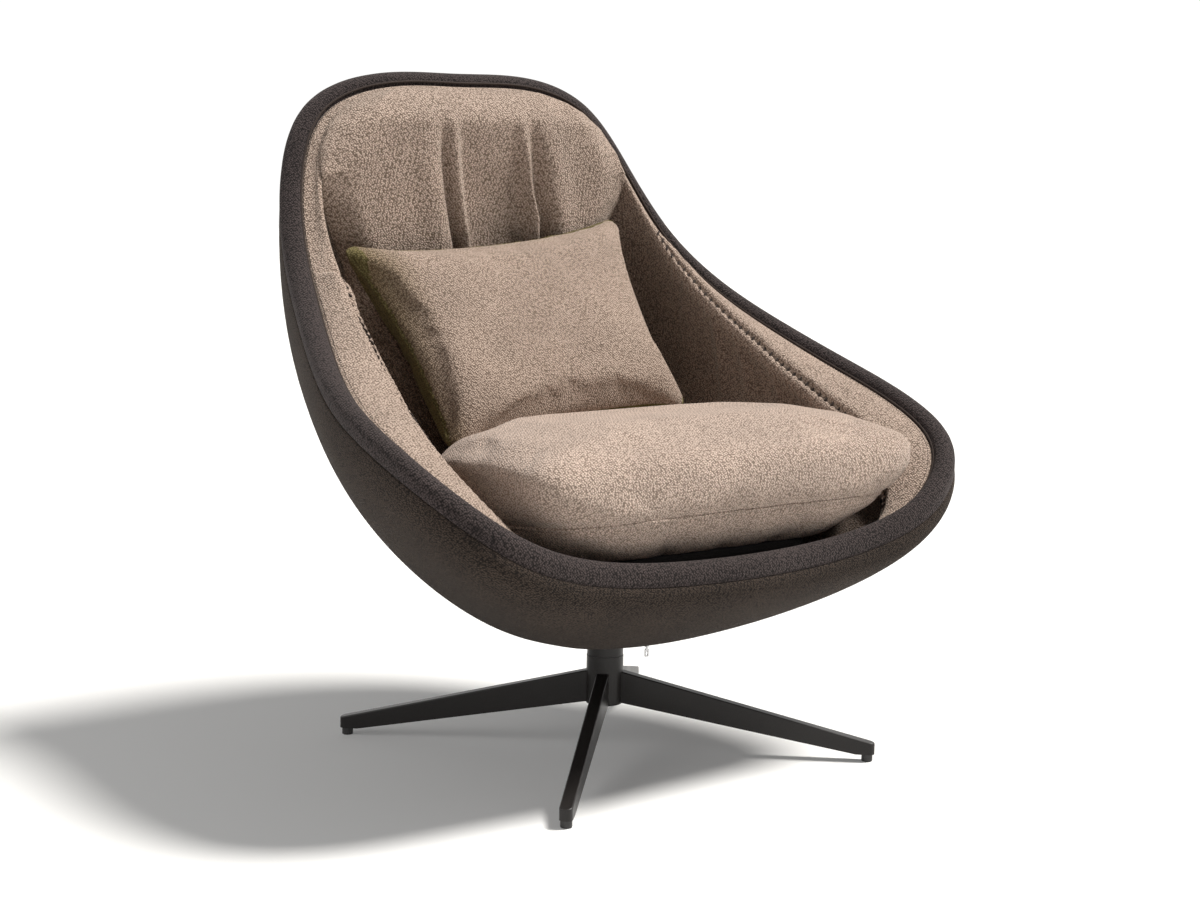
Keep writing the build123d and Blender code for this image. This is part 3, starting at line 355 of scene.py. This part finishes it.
# The skin is moved out wherever the core of the CAD would show through it
CORE_MARGIN, CORE_SEARCH, CORE_COVER = 0.0015, 0.03, 0.0008
TUCK_ROWS = tuck.shape[1]
core = nodes["shell_core"].data
core_tree = BVHTree.FromPolygons([tuple(v.co) for v in core.vertices],
                                 [tuple(f.vertices) for f in core.polygons])
OUTWARD = np.stack([np.cos(ANGLE), np.sin(ANGLE), ANGLE * 0], 1)
push = np.zeros(skin.shape[:2])
for i, away_from_axis in enumerate(OUTWARD):
    ray = Vector(away_from_axis)
    for j in range(1, skin.shape[1] - TUCK_ROWS):
        inside = Vector(skin[i, j] - away_from_axis * CORE_MARGIN)
        gone = 0.0
        hit = core_tree.ray_cast(inside, ray, CORE_SEARCH)
        while hit[0] is not None and gone < CORE_SEARCH:
            gone += hit[3] + 0.00002
            hit = core_tree.ray_cast(inside + ray * gone, ray, CORE_SEARCH - gone)
        push[i, j] = gone
needed = push + CORE_COVER * (push > 0)
push = needed.copy()
for _ in range(10):
    push = soften(push, 1)
    push[:, 1:-1] = (push[:, :-2] + push[:, 1:-1] * 2 + push[:, 2:]) / 4
    push = np.maximum(push, needed)
push[:, 0] = push[:, -TUCK_ROWS:] = 0
skin += OUTWARD[:, None] * push[..., None]
cover = piece("shell_skin", skin, grid_faces(STATIONS, skin.shape[1], True), "seat",
              shell_cloth)
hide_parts("outer_cover")

# Rim roll: padded edge with a rounded top and soft lower corner
turn = np.linspace(math.pi, 0, 13)
profile = [(-ROLL, -0.034), (-ROLL, -0.026)]
profile += [(ROLL * math.cos(a), ROLL * math.sin(a) - ROLL) for a in turn]
corner = np.linspace(0, -math.pi / 2, 6)
profile += [(ROLL, -0.020)]
profile += [(ROLL - 0.006 + 0.006 * math.cos(a), -0.0235 + 0.0062 * math.sin(a)) for a in corner]
profile += [(0.0, -0.0299)]
profile = np.array(profile)
flat = np.stack([REACH[:, None] + profile[None, :, 0], HEIGHT[:, None] + profile[None, :, 1]], -1)
roll_points = lift(flat)
roll = piece("rim_roll_padding", roll_points, grid_faces(STATIONS, len(profile), True, True), "seat",
             rim_cloth, outward=True)
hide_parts("rim_roll")

# Lining: border beside the roll, a stitched seam, then the wall down to the floor of the bowl
widths = np.interp(np.degrees(np.arcsin(np.sin(ANGLE))), *zip(*BORDER_WIDTHS)) * 0.001
widths = soften(widths, 30)
inner_poles = wall_poles(mix(LINING_DEPTH), widths + ROLL)
inner = bezier(inner_poles, np.linspace(1, 0.03, 160))
seam_line = np.stack([REACH - ROLL - ROLL_GAP, HEIGHT - mix(LINING_DROP)], 1)
ahead = inner_poles[:, 3] - inner_poles[:, 2]
ahead /= np.linalg.norm(ahead, axis=1, keepdims=True)
shoulder_poles = np.stack([
    seam_line,
    np.stack([(inner_poles[:, 3, 0] + seam_line[:, 0]) / 2, seam_line[:, 1]], 1),
    inner_poles[:, 3] + ahead * mix(SHOULDER_RISE)[:, None],
    inner_poles[:, 3],
], 1)
SHOULDER_POINTS = 90
shoulder = bezier(shoulder_poles, np.linspace(0, 1, SHOULDER_POINTS))
profile = np.concatenate([shoulder, inner[:, 1:]], 1)
distance = np.concatenate([np.zeros((STATIONS, 1)),
                           np.cumsum(np.linalg.norm(np.diff(profile, axis=1), axis=2), 1)], 1)
EDGE_SHARE = 0.64
edge_at = distance[:, int((SHOULDER_POINTS - 1) * EDGE_SHARE)][:, None]
BAND_ROWS, SIDE_ROWS, SIDE = 30, 22, 0.055
places = np.concatenate([
    edge_at * np.linspace(0, 1, BAND_ROWS + 1)[None],
    edge_at + SIDE * np.linspace(0, 1, SIDE_ROWS + 1)[None, 1:],
    edge_at + SIDE + (distance[:, -1:] - edge_at - SIDE) * np.linspace(0, 1, 45)[None, 1:],
], 1)
lining_flat = np.stack([
    np.stack([np.interp(places[i], distance[i], profile[i, :, k]) for i in range(STATIONS)]) for k in (0, 1)
], -1)
slope = np.gradient(lining_flat, axis=1)
slope /= np.linalg.norm(slope, axis=2, keepdims=True)
inward = np.stack([slope[..., 1], -slope[..., 0]], -1)
toward = np.sign(np.sum(inward[:, 40] * np.array([-1.0, 0.4]), 1))[:, None, None]
inward = inward * toward

# Where the border seam, its puckers, the cross seams and the folds lie
half = STATIONS // 2
BORDER_START = (0.345, 0.40)
BORDER_END_RIGHT, BORDER_END_LEFT = (0.655, 0.745), (0.640, 0.662)
upper = np.where(np.arange(STATIONS) < half, 1 - smooth(HEIGHT, *BORDER_END_RIGHT),
                 1 - smooth(HEIGHT, *BORDER_END_LEFT))
arm = smooth(HEIGHT, *BORDER_START) * upper
CROSS_HEIGHT = 0.655
PUCKER_PITCH = 0.0150
cross_right = ALONG[np.argmin(np.abs(HEIGHT[:half] - CROSS_HEIGHT))]
cross_left = RIM_LENGTH - cross_right
FOLDS = ((cross_right - 0.085, 0.010, 0.0060), (cross_right - 0.150, 0.014, 0.0045),
         (cross_right - 0.235, 0.016, 0.0035), (cross_left + 0.095, 0.012, 0.0045),
         (cross_left + 0.170, 0.015, 0.0035))
wander = np.array([noise.noise(Vector((a * 9, 0, 3))) for a in ALONG])
pucker = 0.5 + 0.5 * np.sin(2 * math.pi * (ALONG + wander * 0.012) / PUCKER_PITCH)
pucker *= 0.55 + 0.45 * np.array([noise.noise(Vector((a * 34, 5, 1))) for a in ALONG])
off_edge = places - edge_at
band = np.clip(places / edge_at, 0, 1)
move = 0.0055 * np.sin(math.pi * band) ** 0.8 * arm[:, None]
move += 0.0030 * bump(off_edge, -0.010, 0.008) * arm[:, None]
groove = bump(off_edge, 0.0, 0.0032)
move -= groove * arm[:, None] * (0.0030 + 0.0055 * pucker[:, None])
ripple = bump(off_edge, 0.014, 0.018) + 0.4 * bump(off_edge, -0.010, 0.008)
move -= 0.0036 * ripple * arm[:, None] * (pucker[:, None] - 0.4)
for where, share in ((cross_right, 0.35), (cross_left, 1.0)):
    fade = share * smooth(places, 0.004, 0.034) * (1 - smooth(places, 0.120, 0.190))
    off = np.abs(ALONG - where)[:, None]
    move -= 0.0040 * np.exp(-(off / 0.0060) ** 2) * fade
    side = np.sign(HEIGHT - CROSS_HEIGHT)[:, None]
    move += 0.0045 * np.exp(-((off - 0.030) / 0.024) ** 2) * fade * smooth(-side * off, 0.0, 0.012)
for where, width, size in FOLDS:
    off = (ALONG - where)[:, None] - 0.35 * (places - 0.05) * np.sign(where - RIM_LENGTH / 2)
    reach = smooth(off_edge, 0.010, 0.06) * (1 - smooth(off_edge, 0.16, 0.26))
    move += size * np.exp(-(off / width) ** 2) * reach
move -= 0.0016 * bump(places, 0.0, 0.0022)
move -= 0.0080 * bump(places, 0.016, 0.014) * smooth(HEIGHT, 0.655, 0.72)[:, None]
lining_points = lift(lining_flat + inward * move[..., None])
tucked = lift(lining_flat[:, :1] + np.array([[[0.0012, -0.010]]]))
lining_points = np.concatenate([tucked, lining_points], 1)
lining = piece("lining_padding", lining_points, grid_faces(STATIONS, lining_points.shape[1], True), "seat",
               [lining_cloth, black_cloth])

# Painted shade: the lining is darker below its border, where the hollow of the seat lies in shade, and black
# under the front of the cushion as painted shade of the gap there
wall_painted_shade = smooth(off_edge, 0.002, 0.035) * smooth(HEIGHT, 0.36, 0.42)[:, None]
layer = lining.data.attributes.new("painted_shade_and_olive_tint", "FLOAT", "POINT")
layer.data.foreach_set("value", np.concatenate([wall_painted_shade[:, :1], wall_painted_shade], 1).ravel().astype(np.float32))
columns = lining_points.shape[1] - 1
FRONT_HEIGHT = 0.385
# Black cloth on the wall below the front border: painted shade in the gap under the cushion
painted_gap_shade = (np.arange(columns)[None] > BAND_ROWS + 2) & (HEIGHT[:, None] < FRONT_HEIGHT)
lining.data.polygons.foreach_set("material_index", painted_gap_shade.ravel().astype(np.int32))
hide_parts("lining_back", "lining_left", "lining_right")
lining_tree = BVHTree.FromPolygons(
    [tuple(p) for p in lift(lining_flat).reshape(-1, 3)], grid_faces(STATIONS, lining_flat.shape[1], True))

# Piping: thin cord between the roll and the lining, and stitches beside it and along the border seam; those
# along the seam are thick and dark, partly stitches and partly painted shade of the puckers
cord_path = lift(np.stack([REACH - ROLL - 0.0004, HEIGHT - mix(LINING_DROP) + 0.0022], -1)[:, None])[:, 0]
points, faces = tube(cord_path, 0.0017)
piece("rim_piping", points, faces, "seat", thread_and_pucker_shade, outward=True)


STITCH_ENDS = np.linspace(-0.5, 0.5, 5)
STITCH_ARCH = np.array([-1.0, 0.2, 0.5, 0.2, -1.0])
STITCH_SIDES = 6


def stitch_row(name, row, every, length, radius, keep, sink, material, across=False):
    """A row of short sewn threads along one row of the lining, or across it, as one mesh."""
    path = lining_points[:, row]
    nearby = lining_points[:, row + 1] - lining_points[:, row - 1]
    all_points, all_faces = [], []
    steps = int(RIM_LENGTH / every)
    for k in range(steps):
        place = k * every * STATIONS / RIM_LENGTH
        i = int(place) % STATIONS
        if not keep[i]:
            continue
        share = place - int(place)
        middle = path[i] * (1 - share) + path[(i + 1) % STATIONS] * share
        run = path[(i + 1) % STATIONS] - path[i]
        run = run / np.linalg.norm(run)
        out = np.cross(run, nearby[i])
        out = out / np.linalg.norm(out)
        if across:
            run = nearby[i] / np.linalg.norm(nearby[i])
        steep = abs(out[2]) <= 0.2
        if (np.dot(out, -middle * (1, 1, 0)) if steep else out[2]) < 0:
            out = -out
        thread = [middle + run * length * e + out * (a - sink)
                  for e, a in zip(STITCH_ENDS, STITCH_ARCH * radius)]
        points, faces = tube(thread, radius, STITCH_SIDES, False)
        first = len(all_points) * len(STITCH_ENDS) * STITCH_SIDES
        all_points.append(points.reshape(-1, 3))
        all_faces += [tuple(v + first for v in face) for face in faces]
    return piece(name, np.concatenate(all_points), all_faces, "seat", material, outward=True)


stitch_row("edge_stitches", 4, 0.0052, 0.0034, 0.00045, HEIGHT > 0.36, 0.0, thread_and_pucker_shade)
# Thick dark threads at every pucker: partly sewn stitches, partly painted shade of the dimples
stitch_row("border_stitches_and_pucker_shade", BAND_ROWS + 1, PUCKER_PITCH, 0.0105, 0.0016, arm > 0.4, -0.0026, thread_and_pucker_shade,
           across=True)

# Back pad: two lobes and a sunken middle panel between tucks, over the back of the lining
PAD_LOW, PAD_HIGH = 0.402, 0.886
HALF_AT = ((0.402, 0.150), (0.48, 0.188), (0.56, 0.204), (0.64, 0.218), (0.69, 0.240), (0.73, 0.256),
           (0.77, 0.262), (0.80, 0.254), (0.835, 0.232), (0.858, 0.204), (0.872, 0.174), (0.881, 0.142),
           (0.886, 0.122))
THICK_AT = ((0.402, 0.020), (0.48, 0.026), (0.56, 0.028), (0.64, 0.030), (0.72, 0.036), (0.79, 0.040),
            (0.84, 0.040), (0.888, 0.036))
TUCK_LEFT = ((0.40, -0.040), (0.669, -0.044), (0.733, -0.057), (0.788, -0.067), (0.832, -0.071),
             (0.89, -0.071))
TUCK_RIGHT = ((0.40, 0.118), (0.704, 0.112), (0.740, 0.101), (0.789, 0.092), (0.853, 0.081), (0.89, 0.079))
pad_rows, pad_columns = 170, 201
spread = np.sin(np.linspace(-1, 1, pad_columns) * math.pi / 2)
rises = 0.5 + 0.5 * np.sin(np.linspace(-1, 1, pad_rows) * math.pi / 2)
heights = PAD_LOW + (PAD_HIGH - PAD_LOW) * rises
PAD_ROUNDING = 0.058
front, back = [], []
for z in heights:
    wide = np.interp(z, *zip(*HALF_AT))
    thick = np.interp(z, *zip(*THICK_AT))
    for u in spread:
        x = u * wide
        hit = lining_tree.ray_cast(Vector((x, 0.02, z)), Vector((0, 1, 0)))[0]
        y = hit.y if hit else 0.345
        edge = min(wide - abs(x), (PAD_HIGH - z) * 1.15, (z - PAD_LOW) * 1.2)
        rounding = math.sin(math.pi / 2 * min(1.0, max(0.0, edge) / PAD_ROUNDING)) ** 0.8
        depth = thick * rounding
        fall = float(1 - smooth(z, 0.790, 0.874)) * rounding
        deep = 0.35 + 0.65 * float(1 - smooth(z, 0.68, 0.83))
        left = np.interp(z, *zip(*TUCK_LEFT)) - x
        rise = x - np.interp(z, *zip(*TUCK_RIGHT))
        a = max(left, rise)
        wider = 1.0 if left > rise else 1.6
        depth -= fall * 0.019 * deep * float(1 - smooth(a, -0.034, -0.012))
        depth += fall * 0.0065 * float(bump(a, -0.019, 0.0085))
        depth -= fall * 0.0220 * deep * float(bump(a, 0.0, 0.0072 * wider))
        depth += fall * 0.0050 * float(bump(a, 0.030, 0.022))
        depth += 0.0012 * noise.noise(Vector((x * 18, z * 14, 2))) * rounding
        front.append((x, y - 0.0006 - max(depth, 0.002 * rounding), z))
        back.append((x, y - 0.0004, z))
count = len(front)
faces = grid_faces(pad_rows, pad_columns)
faces += [tuple(v + count for v in reversed(face)) for face in faces[:]]
border = list(range(pad_columns))
border += [i * pad_columns + pad_columns - 1 for i in range(1, pad_rows)]
border += [(pad_rows - 1) * pad_columns + j for j in range(pad_columns - 2, -1, -1)]
border += [i * pad_columns for i in range(pad_rows - 2, 0, -1)]
faces += [(a, b, b + count, a + count) for a, b in zip(border, border[1:] + border[:1])]
pad = piece("back_padding", front + back, faces, "seat", taupe, outward=True)
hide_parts("back_pad")


def inflate(obj, pressure, frames, cap):
    """Swell a closed mesh with a short cloth run, with a cap on how far a point may move."""
    before = np.array([v.co for v in obj.data.vertices])
    cloth = obj.modifiers.new("Cloth", "CLOTH")
    settings = cloth.settings
    settings.quality = 6
    settings.mass = 0.25
    settings.tension_stiffness = 12
    settings.compression_stiffness = 12
    settings.shear_stiffness = 4
    settings.bending_stiffness = 0.4
    settings.use_pressure = True
    settings.uniform_pressure_force = pressure
    settings.effector_weights.gravity = 0
    cloth.collision_settings.use_collision = False
    cloth.point_cache.frame_start = 1
    cloth.point_cache.frame_end = frames
    for number in range(1, frames + 1):
        scene.frame_set(number)
    shape = bpy.data.meshes.new_from_object(obj.evaluated_get(bpy.context.evaluated_depsgraph_get()))
    after = np.array([v.co for v in shape.vertices])
    bpy.data.meshes.remove(shape)
    obj.modifiers.remove(cloth)
    scene.frame_set(1)
    shift = after - before
    far = np.linalg.norm(shift, axis=1, keepdims=True)
    after = before + shift * np.minimum(1.0, cap / np.maximum(far, 1e-9))
    obj.data.vertices.foreach_set("co", after.ravel())
    obj.data.update()


def remeshed(name, sources, voxel, smoothing):
    """One even mesh made from copies of CAD nodes."""
    work = bmesh.new()
    for source in sources:
        work.from_mesh(nodes[source].data)
    mesh = bpy.data.meshes.new(name)
    work.to_mesh(mesh)
    work.free()
    obj = bpy.data.objects.new(name, mesh)
    scene.collection.objects.link(obj)
    change = obj.modifiers.new("Remesh", "REMESH")
    change.mode = "VOXEL"
    change.voxel_size = voxel
    ease = obj.modifiers.new("Smooth", "SMOOTH")
    ease.factor = 0.5
    ease.iterations = smoothing
    shape = bpy.data.meshes.new_from_object(obj.evaluated_get(bpy.context.evaluated_depsgraph_get()))
    obj.modifiers.clear()
    obj.data = shape
    shape.name = name
    return obj


def subdivide(obj):
    """One subdivision, applied by the render."""
    change = obj.modifiers.new("Subdivision", "SUBSURF")
    change.levels = 1
    change.render_levels = 1


# Seat cushion: crowned, swollen by cloth, with a welted seam low on its side
SEAT_TILT = math.radians(4)
seat_up = np.array((0, math.sin(SEAT_TILT), math.cos(SEAT_TILT)))
seat_origin = np.array((0, 0, 0.2923))
cushion = remeshed("seat_cushion_soft", ["seat_cushion"], 0.006, 24)
inflate(cushion, 4.0, 20, 0.009)

# Its crown is widened and its front corners drawn out, and it lies a little to the right and forward
CUSHION_SEAM = 0.052
CUSHION_PLACE = (0.014, -0.012, 0.0)
co = np.array([v.co for v in cushion.data.vertices])
level = (co - seat_origin) @ seat_up
co[:, 0] *= 1 + 0.075 * smooth(level, 0.095, 0.140)
corner = smooth(-co[:, 1], 0.165, 0.262) * smooth(np.abs(co[:, 0]), 0.08, 0.27)
co[:, 0] += np.sign(co[:, 0]) * 0.052 * corner
co[:, 2] += 0.016 * corner * (1 - smooth(level, 0.04, 0.13))
co[:, 2] += 0.010 * smooth(-co[:, 1], 0.10, 0.22) * (1 - smooth(level, 0.03, 0.10))
co += CUSHION_PLACE
cushion.data.vertices.foreach_set("co", co.ravel())
cushion.data.update()
normal = np.array([v.normal for v in cushion.data.vertices])
level = (co - seat_origin) @ seat_up
co -= normal * (0.0035 * bump(level, CUSHION_SEAM, 0.006))[:, None]
ripples = np.array([noise.noise(Vector(p * 26)) for p in co])
co += normal * (0.0016 * ripples * (bump(level, CUSHION_SEAM, 0.035)))[:, None]
cushion.data.vertices.foreach_set("co", co.ravel())
cushion.data.update()
cut = bmesh.new()
cut.from_mesh(cushion.data)
loop = bmesh.ops.bisect_plane(cut, geom=cut.verts[:] + cut.edges[:] + cut.faces[:],
                              plane_co=Vector(seat_origin + seat_up * CUSHION_SEAM), plane_no=Vector(seat_up))
ring = np.array([v.co for v in loop["geom_cut"] if isinstance(v, bmesh.types.BMVert)])
cut.free()
center = ring.mean(0)
order = np.arctan2(ring[:, 1] - center[1], ring[:, 0] - center[0])
ring = ring[np.argsort(order)]
steps = np.linalg.norm(np.diff(np.concatenate([ring, ring[:1]]), axis=0), axis=1)
length = np.concatenate([[0], np.cumsum(steps)])
even = np.linspace(0, length[-1], 420, endpoint=False)
ring = np.stack([np.interp(even, length, np.append(ring[:, k], ring[0, k])) for k in range(3)], 1)
ring = soften(ring, 6)
points, faces = tube(ring, 0.0024)
piece("cushion_welt", points, faces, "cushion", cushion_cloth, outward=True)
dress(cushion, "cushion", cushion_cloth)
subdivide(cushion)
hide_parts("seat_cushion")

# Deck cover: dark cloth over the deck and its foam, seen when the cushion is out
deck = remeshed("deck_cover", ["seat_deck", "seat_foam"], 0.006, 8)
dress(deck, "seat", black_cloth)
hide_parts("seat_deck", "seat_foam")

# Lumbar pillow: swollen by cloth, its corners drawn out in the axes of its own seam plane
PILLOW_CENTER = np.array((0, 0.182, 0.5565))
LEAN = math.radians(37)
TURN = math.radians(4)
PILLOW_HALF = (0.228, 0.159)
OLIVE_EDGE = -0.2215
pillow_front_dir = np.array((0, -math.cos(LEAN), math.sin(LEAN)))
pillow_rise = np.array((0, math.sin(LEAN), math.cos(LEAN)))
pillow_right = np.array((1.0, 0, 0)) * math.cos(TURN) + pillow_rise * math.sin(TURN)
pillow_up = np.cross(pillow_front_dir, pillow_right)
pillow = remeshed("pillow_soft", ["lumbar_pillow"], 0.005, 4)
inflate(pillow, 4.0, 20, 0.010)
axes = np.stack([pillow_right, pillow_up, pillow_front_dir])


def set_down(points):
    """Points in the pillow's own axes, as points of the chair."""
    return PILLOW_CENTER + points @ axes


co = (np.array([v.co for v in pillow.data.vertices]) - PILLOW_CENTER) @ axes.T
wave = np.array([noise.noise(Vector((p[0] * 16, p[1] * 16, 4))) for p in co])
co[:, 2] += 0.0022 * wave * np.sign(co[:, 2]) * smooth(np.abs(co[:, 2]), 0.004, 0.02)
CORNERS = (((0.007, -0.009), (-0.019, 0.0)), ((-0.007, -0.010), (0.020, 0.018)))
across = np.clip(co[:, 0] / PILLOW_HALF[0], -1, 1) / 2 + 0.5
upward = np.clip(co[:, 1] / PILLOW_HALF[1], -1, 1) / 2 + 0.5
low_left, low_right = np.array(CORNERS[0])
top_left, top_right = np.array(CORNERS[1])
low = low_left + (low_right - low_left) * across[:, None]
top = top_left + (top_right - top_left) * across[:, None]
painted_shade_and_olive_tint = 1 - smooth(co[:, 0], -0.232, -0.160 + 0.02 * np.sin(co[:, 1] * 14))
co[:, :2] += low + (top - low) * upward[:, None]
EARS = ((0, 0, 0.000, -0.012), (1, 0, 0.006, -0.005), (0, 1, -0.018, 0.024), (1, 1, 0.012, 0.0))
for right_side, upper_side, ear_x, ear_y in EARS:
    share = (across if right_side else 1 - across) * (upward if upper_side else 1 - upward)
    co[:, :2] += share[:, None] ** 2.5 * np.array((ear_x, ear_y))
pillow.data.vertices.foreach_set("co", set_down(co).ravel())
pillow.data.update()
layer = pillow.data.attributes.new("painted_shade_and_olive_tint", "FLOAT", "POINT")
layer.data.foreach_set("value", painted_shade_and_olive_tint)
dress(pillow, "pillow", [pillow_front, olive])
centers = (np.array([f.center for f in pillow.data.polygons]) - PILLOW_CENTER) @ axes.T
behind = (centers[:, 2] < 0.001) | (centers[:, 0] < OLIVE_EDGE)
pillow.data.polygons.foreach_set("material_index", behind.astype(np.int32))
subdivide(pillow)
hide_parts("lumbar_pillow")

# Welt of the pillow, along the outermost points of its edge
around = np.arctan2(co[:, 1] / PILLOW_HALF[1], co[:, 0] / PILLOW_HALF[0])
far_out = np.hypot(co[:, 0] / PILLOW_HALF[0], co[:, 1] / PILLOW_HALF[1])
edge = []
for turn_at in np.linspace(-math.pi, math.pi, 361)[:-1]:
    near = np.abs((around - turn_at + math.pi) % (2 * math.pi) - math.pi) < 0.03
    picks = np.where(near)[0]
    best = picks[np.argsort(far_out[picks])[-3:]]
    edge.append(co[best].mean(0))
points, faces = tube(set_down(soften(np.array(edge), 3)), 0.0022)
piece("pillow_welt", points, faces, "pillow", olive, outward=True)

# Materials of the CAD nodes that stay
for names, material in (
    (("hub", "leg_front_left", "leg_front_right", "leg_rear_left", "leg_rear_right", "swivel_sleeve"),
     black_metal),
    (("foot_glides", "lower_bush", "upper_bush", "thrust_cage"), nylon),
    (("spindle", "hub_bolt", "hub_washer", "thrust_washer_lower", "thrust_washer_upper", "thrust_balls",
      "retaining_washer", "retaining_clip", "swivel_plate", "plate_bolts", "tee_nuts", "leg_bolts"), steel),
    (("zip_slider", "zip_pull"), zip_metal),
    (("cover_zip",), black_cloth),
    (("base_panel",), shell_cloth),
    (("shell_core",), moulding),
):
    for name in names:
        nodes[name].data.materials.clear()
        nodes[name].data.materials.append(material)

# Floor, which also keeps the shadow
material, tree, shader = new_material("pale_floor")
shader.inputs["Base Color"].default_value = (0.82, 0.82, 0.81, 1)
shader.inputs["Roughness"].default_value = 0.9
shader.inputs["Specular IOR Level"].default_value = 0.1
path = node(tree, "ShaderNodeLightPath")
seen = node(tree, "ShaderNodeMath", {"operation": "MAXIMUM"},
            {0: path.outputs["Is Camera Ray"], 1: path.outputs["Is Glossy Ray"]})
strength = node(tree, "ShaderNodeMath", {"operation": "MULTIPLY", 1: 0.10}, {0: seen.outputs[0]})
glow = node(tree, "ShaderNodeEmission", {}, {"Strength": strength.outputs[0]})
both = node(tree, "ShaderNodeAddShader", {}, {0: shader.outputs[0], 1: glow.outputs[0]})
tree.links.new(both.outputs[0], tree.nodes["Material Output"].inputs["Surface"])
mesh = bpy.data.meshes.new("floor")
SIZE = 14.0
mesh.from_pydata([(-SIZE, -SIZE, 0), (SIZE, -SIZE, 0), (SIZE, SIZE, 0), (-SIZE, SIZE, 0)], [],
                 [(0, 1, 2, 3)])
mesh.materials.append(material)
floor = bpy.data.objects.new("floor", mesh)
scene.collection.objects.link(floor)

# World: white where it is seen, dimmer as light
world = bpy.data.worlds.new("studio")
scene.world = world
world.use_nodes = True
tree = world.node_tree
background = tree.nodes["Background"]
background.inputs["Color"].default_value = (1.0, 0.995, 0.985, 1)
path = node(tree, "ShaderNodeLightPath")
seen = node(tree, "ShaderNodeMath", {"operation": "MAXIMUM"},
            {0: path.outputs["Is Camera Ray"], 1: path.outputs["Is Glossy Ray"]})
seen = node(tree, "ShaderNodeMath", {"operation": "MAXIMUM"},
            {0: seen.outputs[0], 1: path.outputs["Is Transmission Ray"]})
strength = node(tree, "ShaderNodeMapRange", {"To Min": 0.21, "To Max": 1.04}, {"Value": seen.outputs[0]})
tree.links.new(strength.outputs[0], background.inputs["Strength"])


def area_light(name, place, target, size, power, color):
    """A soft square lamp aimed at a point."""
    lamp = bpy.data.lights.new(name, "AREA")
    lamp.size = size
    lamp.energy = power
    lamp.color = color
    obj = bpy.data.objects.new(name, lamp)
    obj.location = place
    obj.rotation_euler = (Vector(target) - Vector(place)).to_track_quat("-Z", "Y").to_euler()
    scene.collection.objects.link(obj)
    return obj


# Camera, as fitted to the photo
AZIMUTH, ELEVATION, FAR = math.radians(-38.0796), math.radians(15.8495), 3.02947
YAW, PITCH, ROLL_ANGLE = math.radians(0.2310), math.radians(8.2169), math.radians(1.0174)
eye = FAR * np.array((math.sin(AZIMUTH) * math.cos(ELEVATION), -math.cos(AZIMUTH) * math.cos(ELEVATION),
                      math.sin(ELEVATION)))
facing = AZIMUTH + YAW
look = np.array((-math.sin(facing) * math.cos(PITCH), math.cos(facing) * math.cos(PITCH), -math.sin(PITCH)))
right = np.array((math.cos(facing), math.sin(facing), 0))
above = np.cross(right, look)
right, above = (math.cos(ROLL_ANGLE) * right + math.sin(ROLL_ANGLE) * above,
                -math.sin(ROLL_ANGLE) * right + math.cos(ROLL_ANGLE) * above)
lens = bpy.data.cameras.new("camera")
lens.sensor_width = 36
lens.lens = 66
camera = bpy.data.objects.new("camera", lens)
camera.matrix_world = Matrix((
    (right[0], above[0], -look[0], eye[0]),
    (right[1], above[1], -look[1], eye[1]),
    (right[2], above[2], -look[2], eye[2]),
    (0, 0, 0, 1),
))
scene.collection.objects.link(camera)
scene.camera = camera

# Key light from the right and above, and a soft fill from the left
target = np.array((0, 0, 0.4))
away = np.array((look[0], look[1], 0)) / math.hypot(look[0], look[1])
side = np.array((right[0], right[1], 0))
sun = bpy.data.lights.new("key", "SUN")
sun.energy = 5.0
sun.angle = math.radians(16)
sun.color = (1.0, 0.975, 0.94)
key = bpy.data.objects.new("key", sun)
key_dir = side * 0.54 + np.array((0, 0, 0.88)) + away * 0.12
key.location = target + key_dir * 3.0
key.rotation_euler = Vector(-key_dir).to_track_quat("-Z", "Y").to_euler()
scene.collection.objects.link(key)
fill_dir = -side * 0.75 + np.array((0, 0, 0.5)) - away * 0.45
area_light("fill", target + fill_dir * 3.6, target, 2.2, 24, (1.0, 0.99, 0.98))

scene.view_settings.view_transform = "Standard"
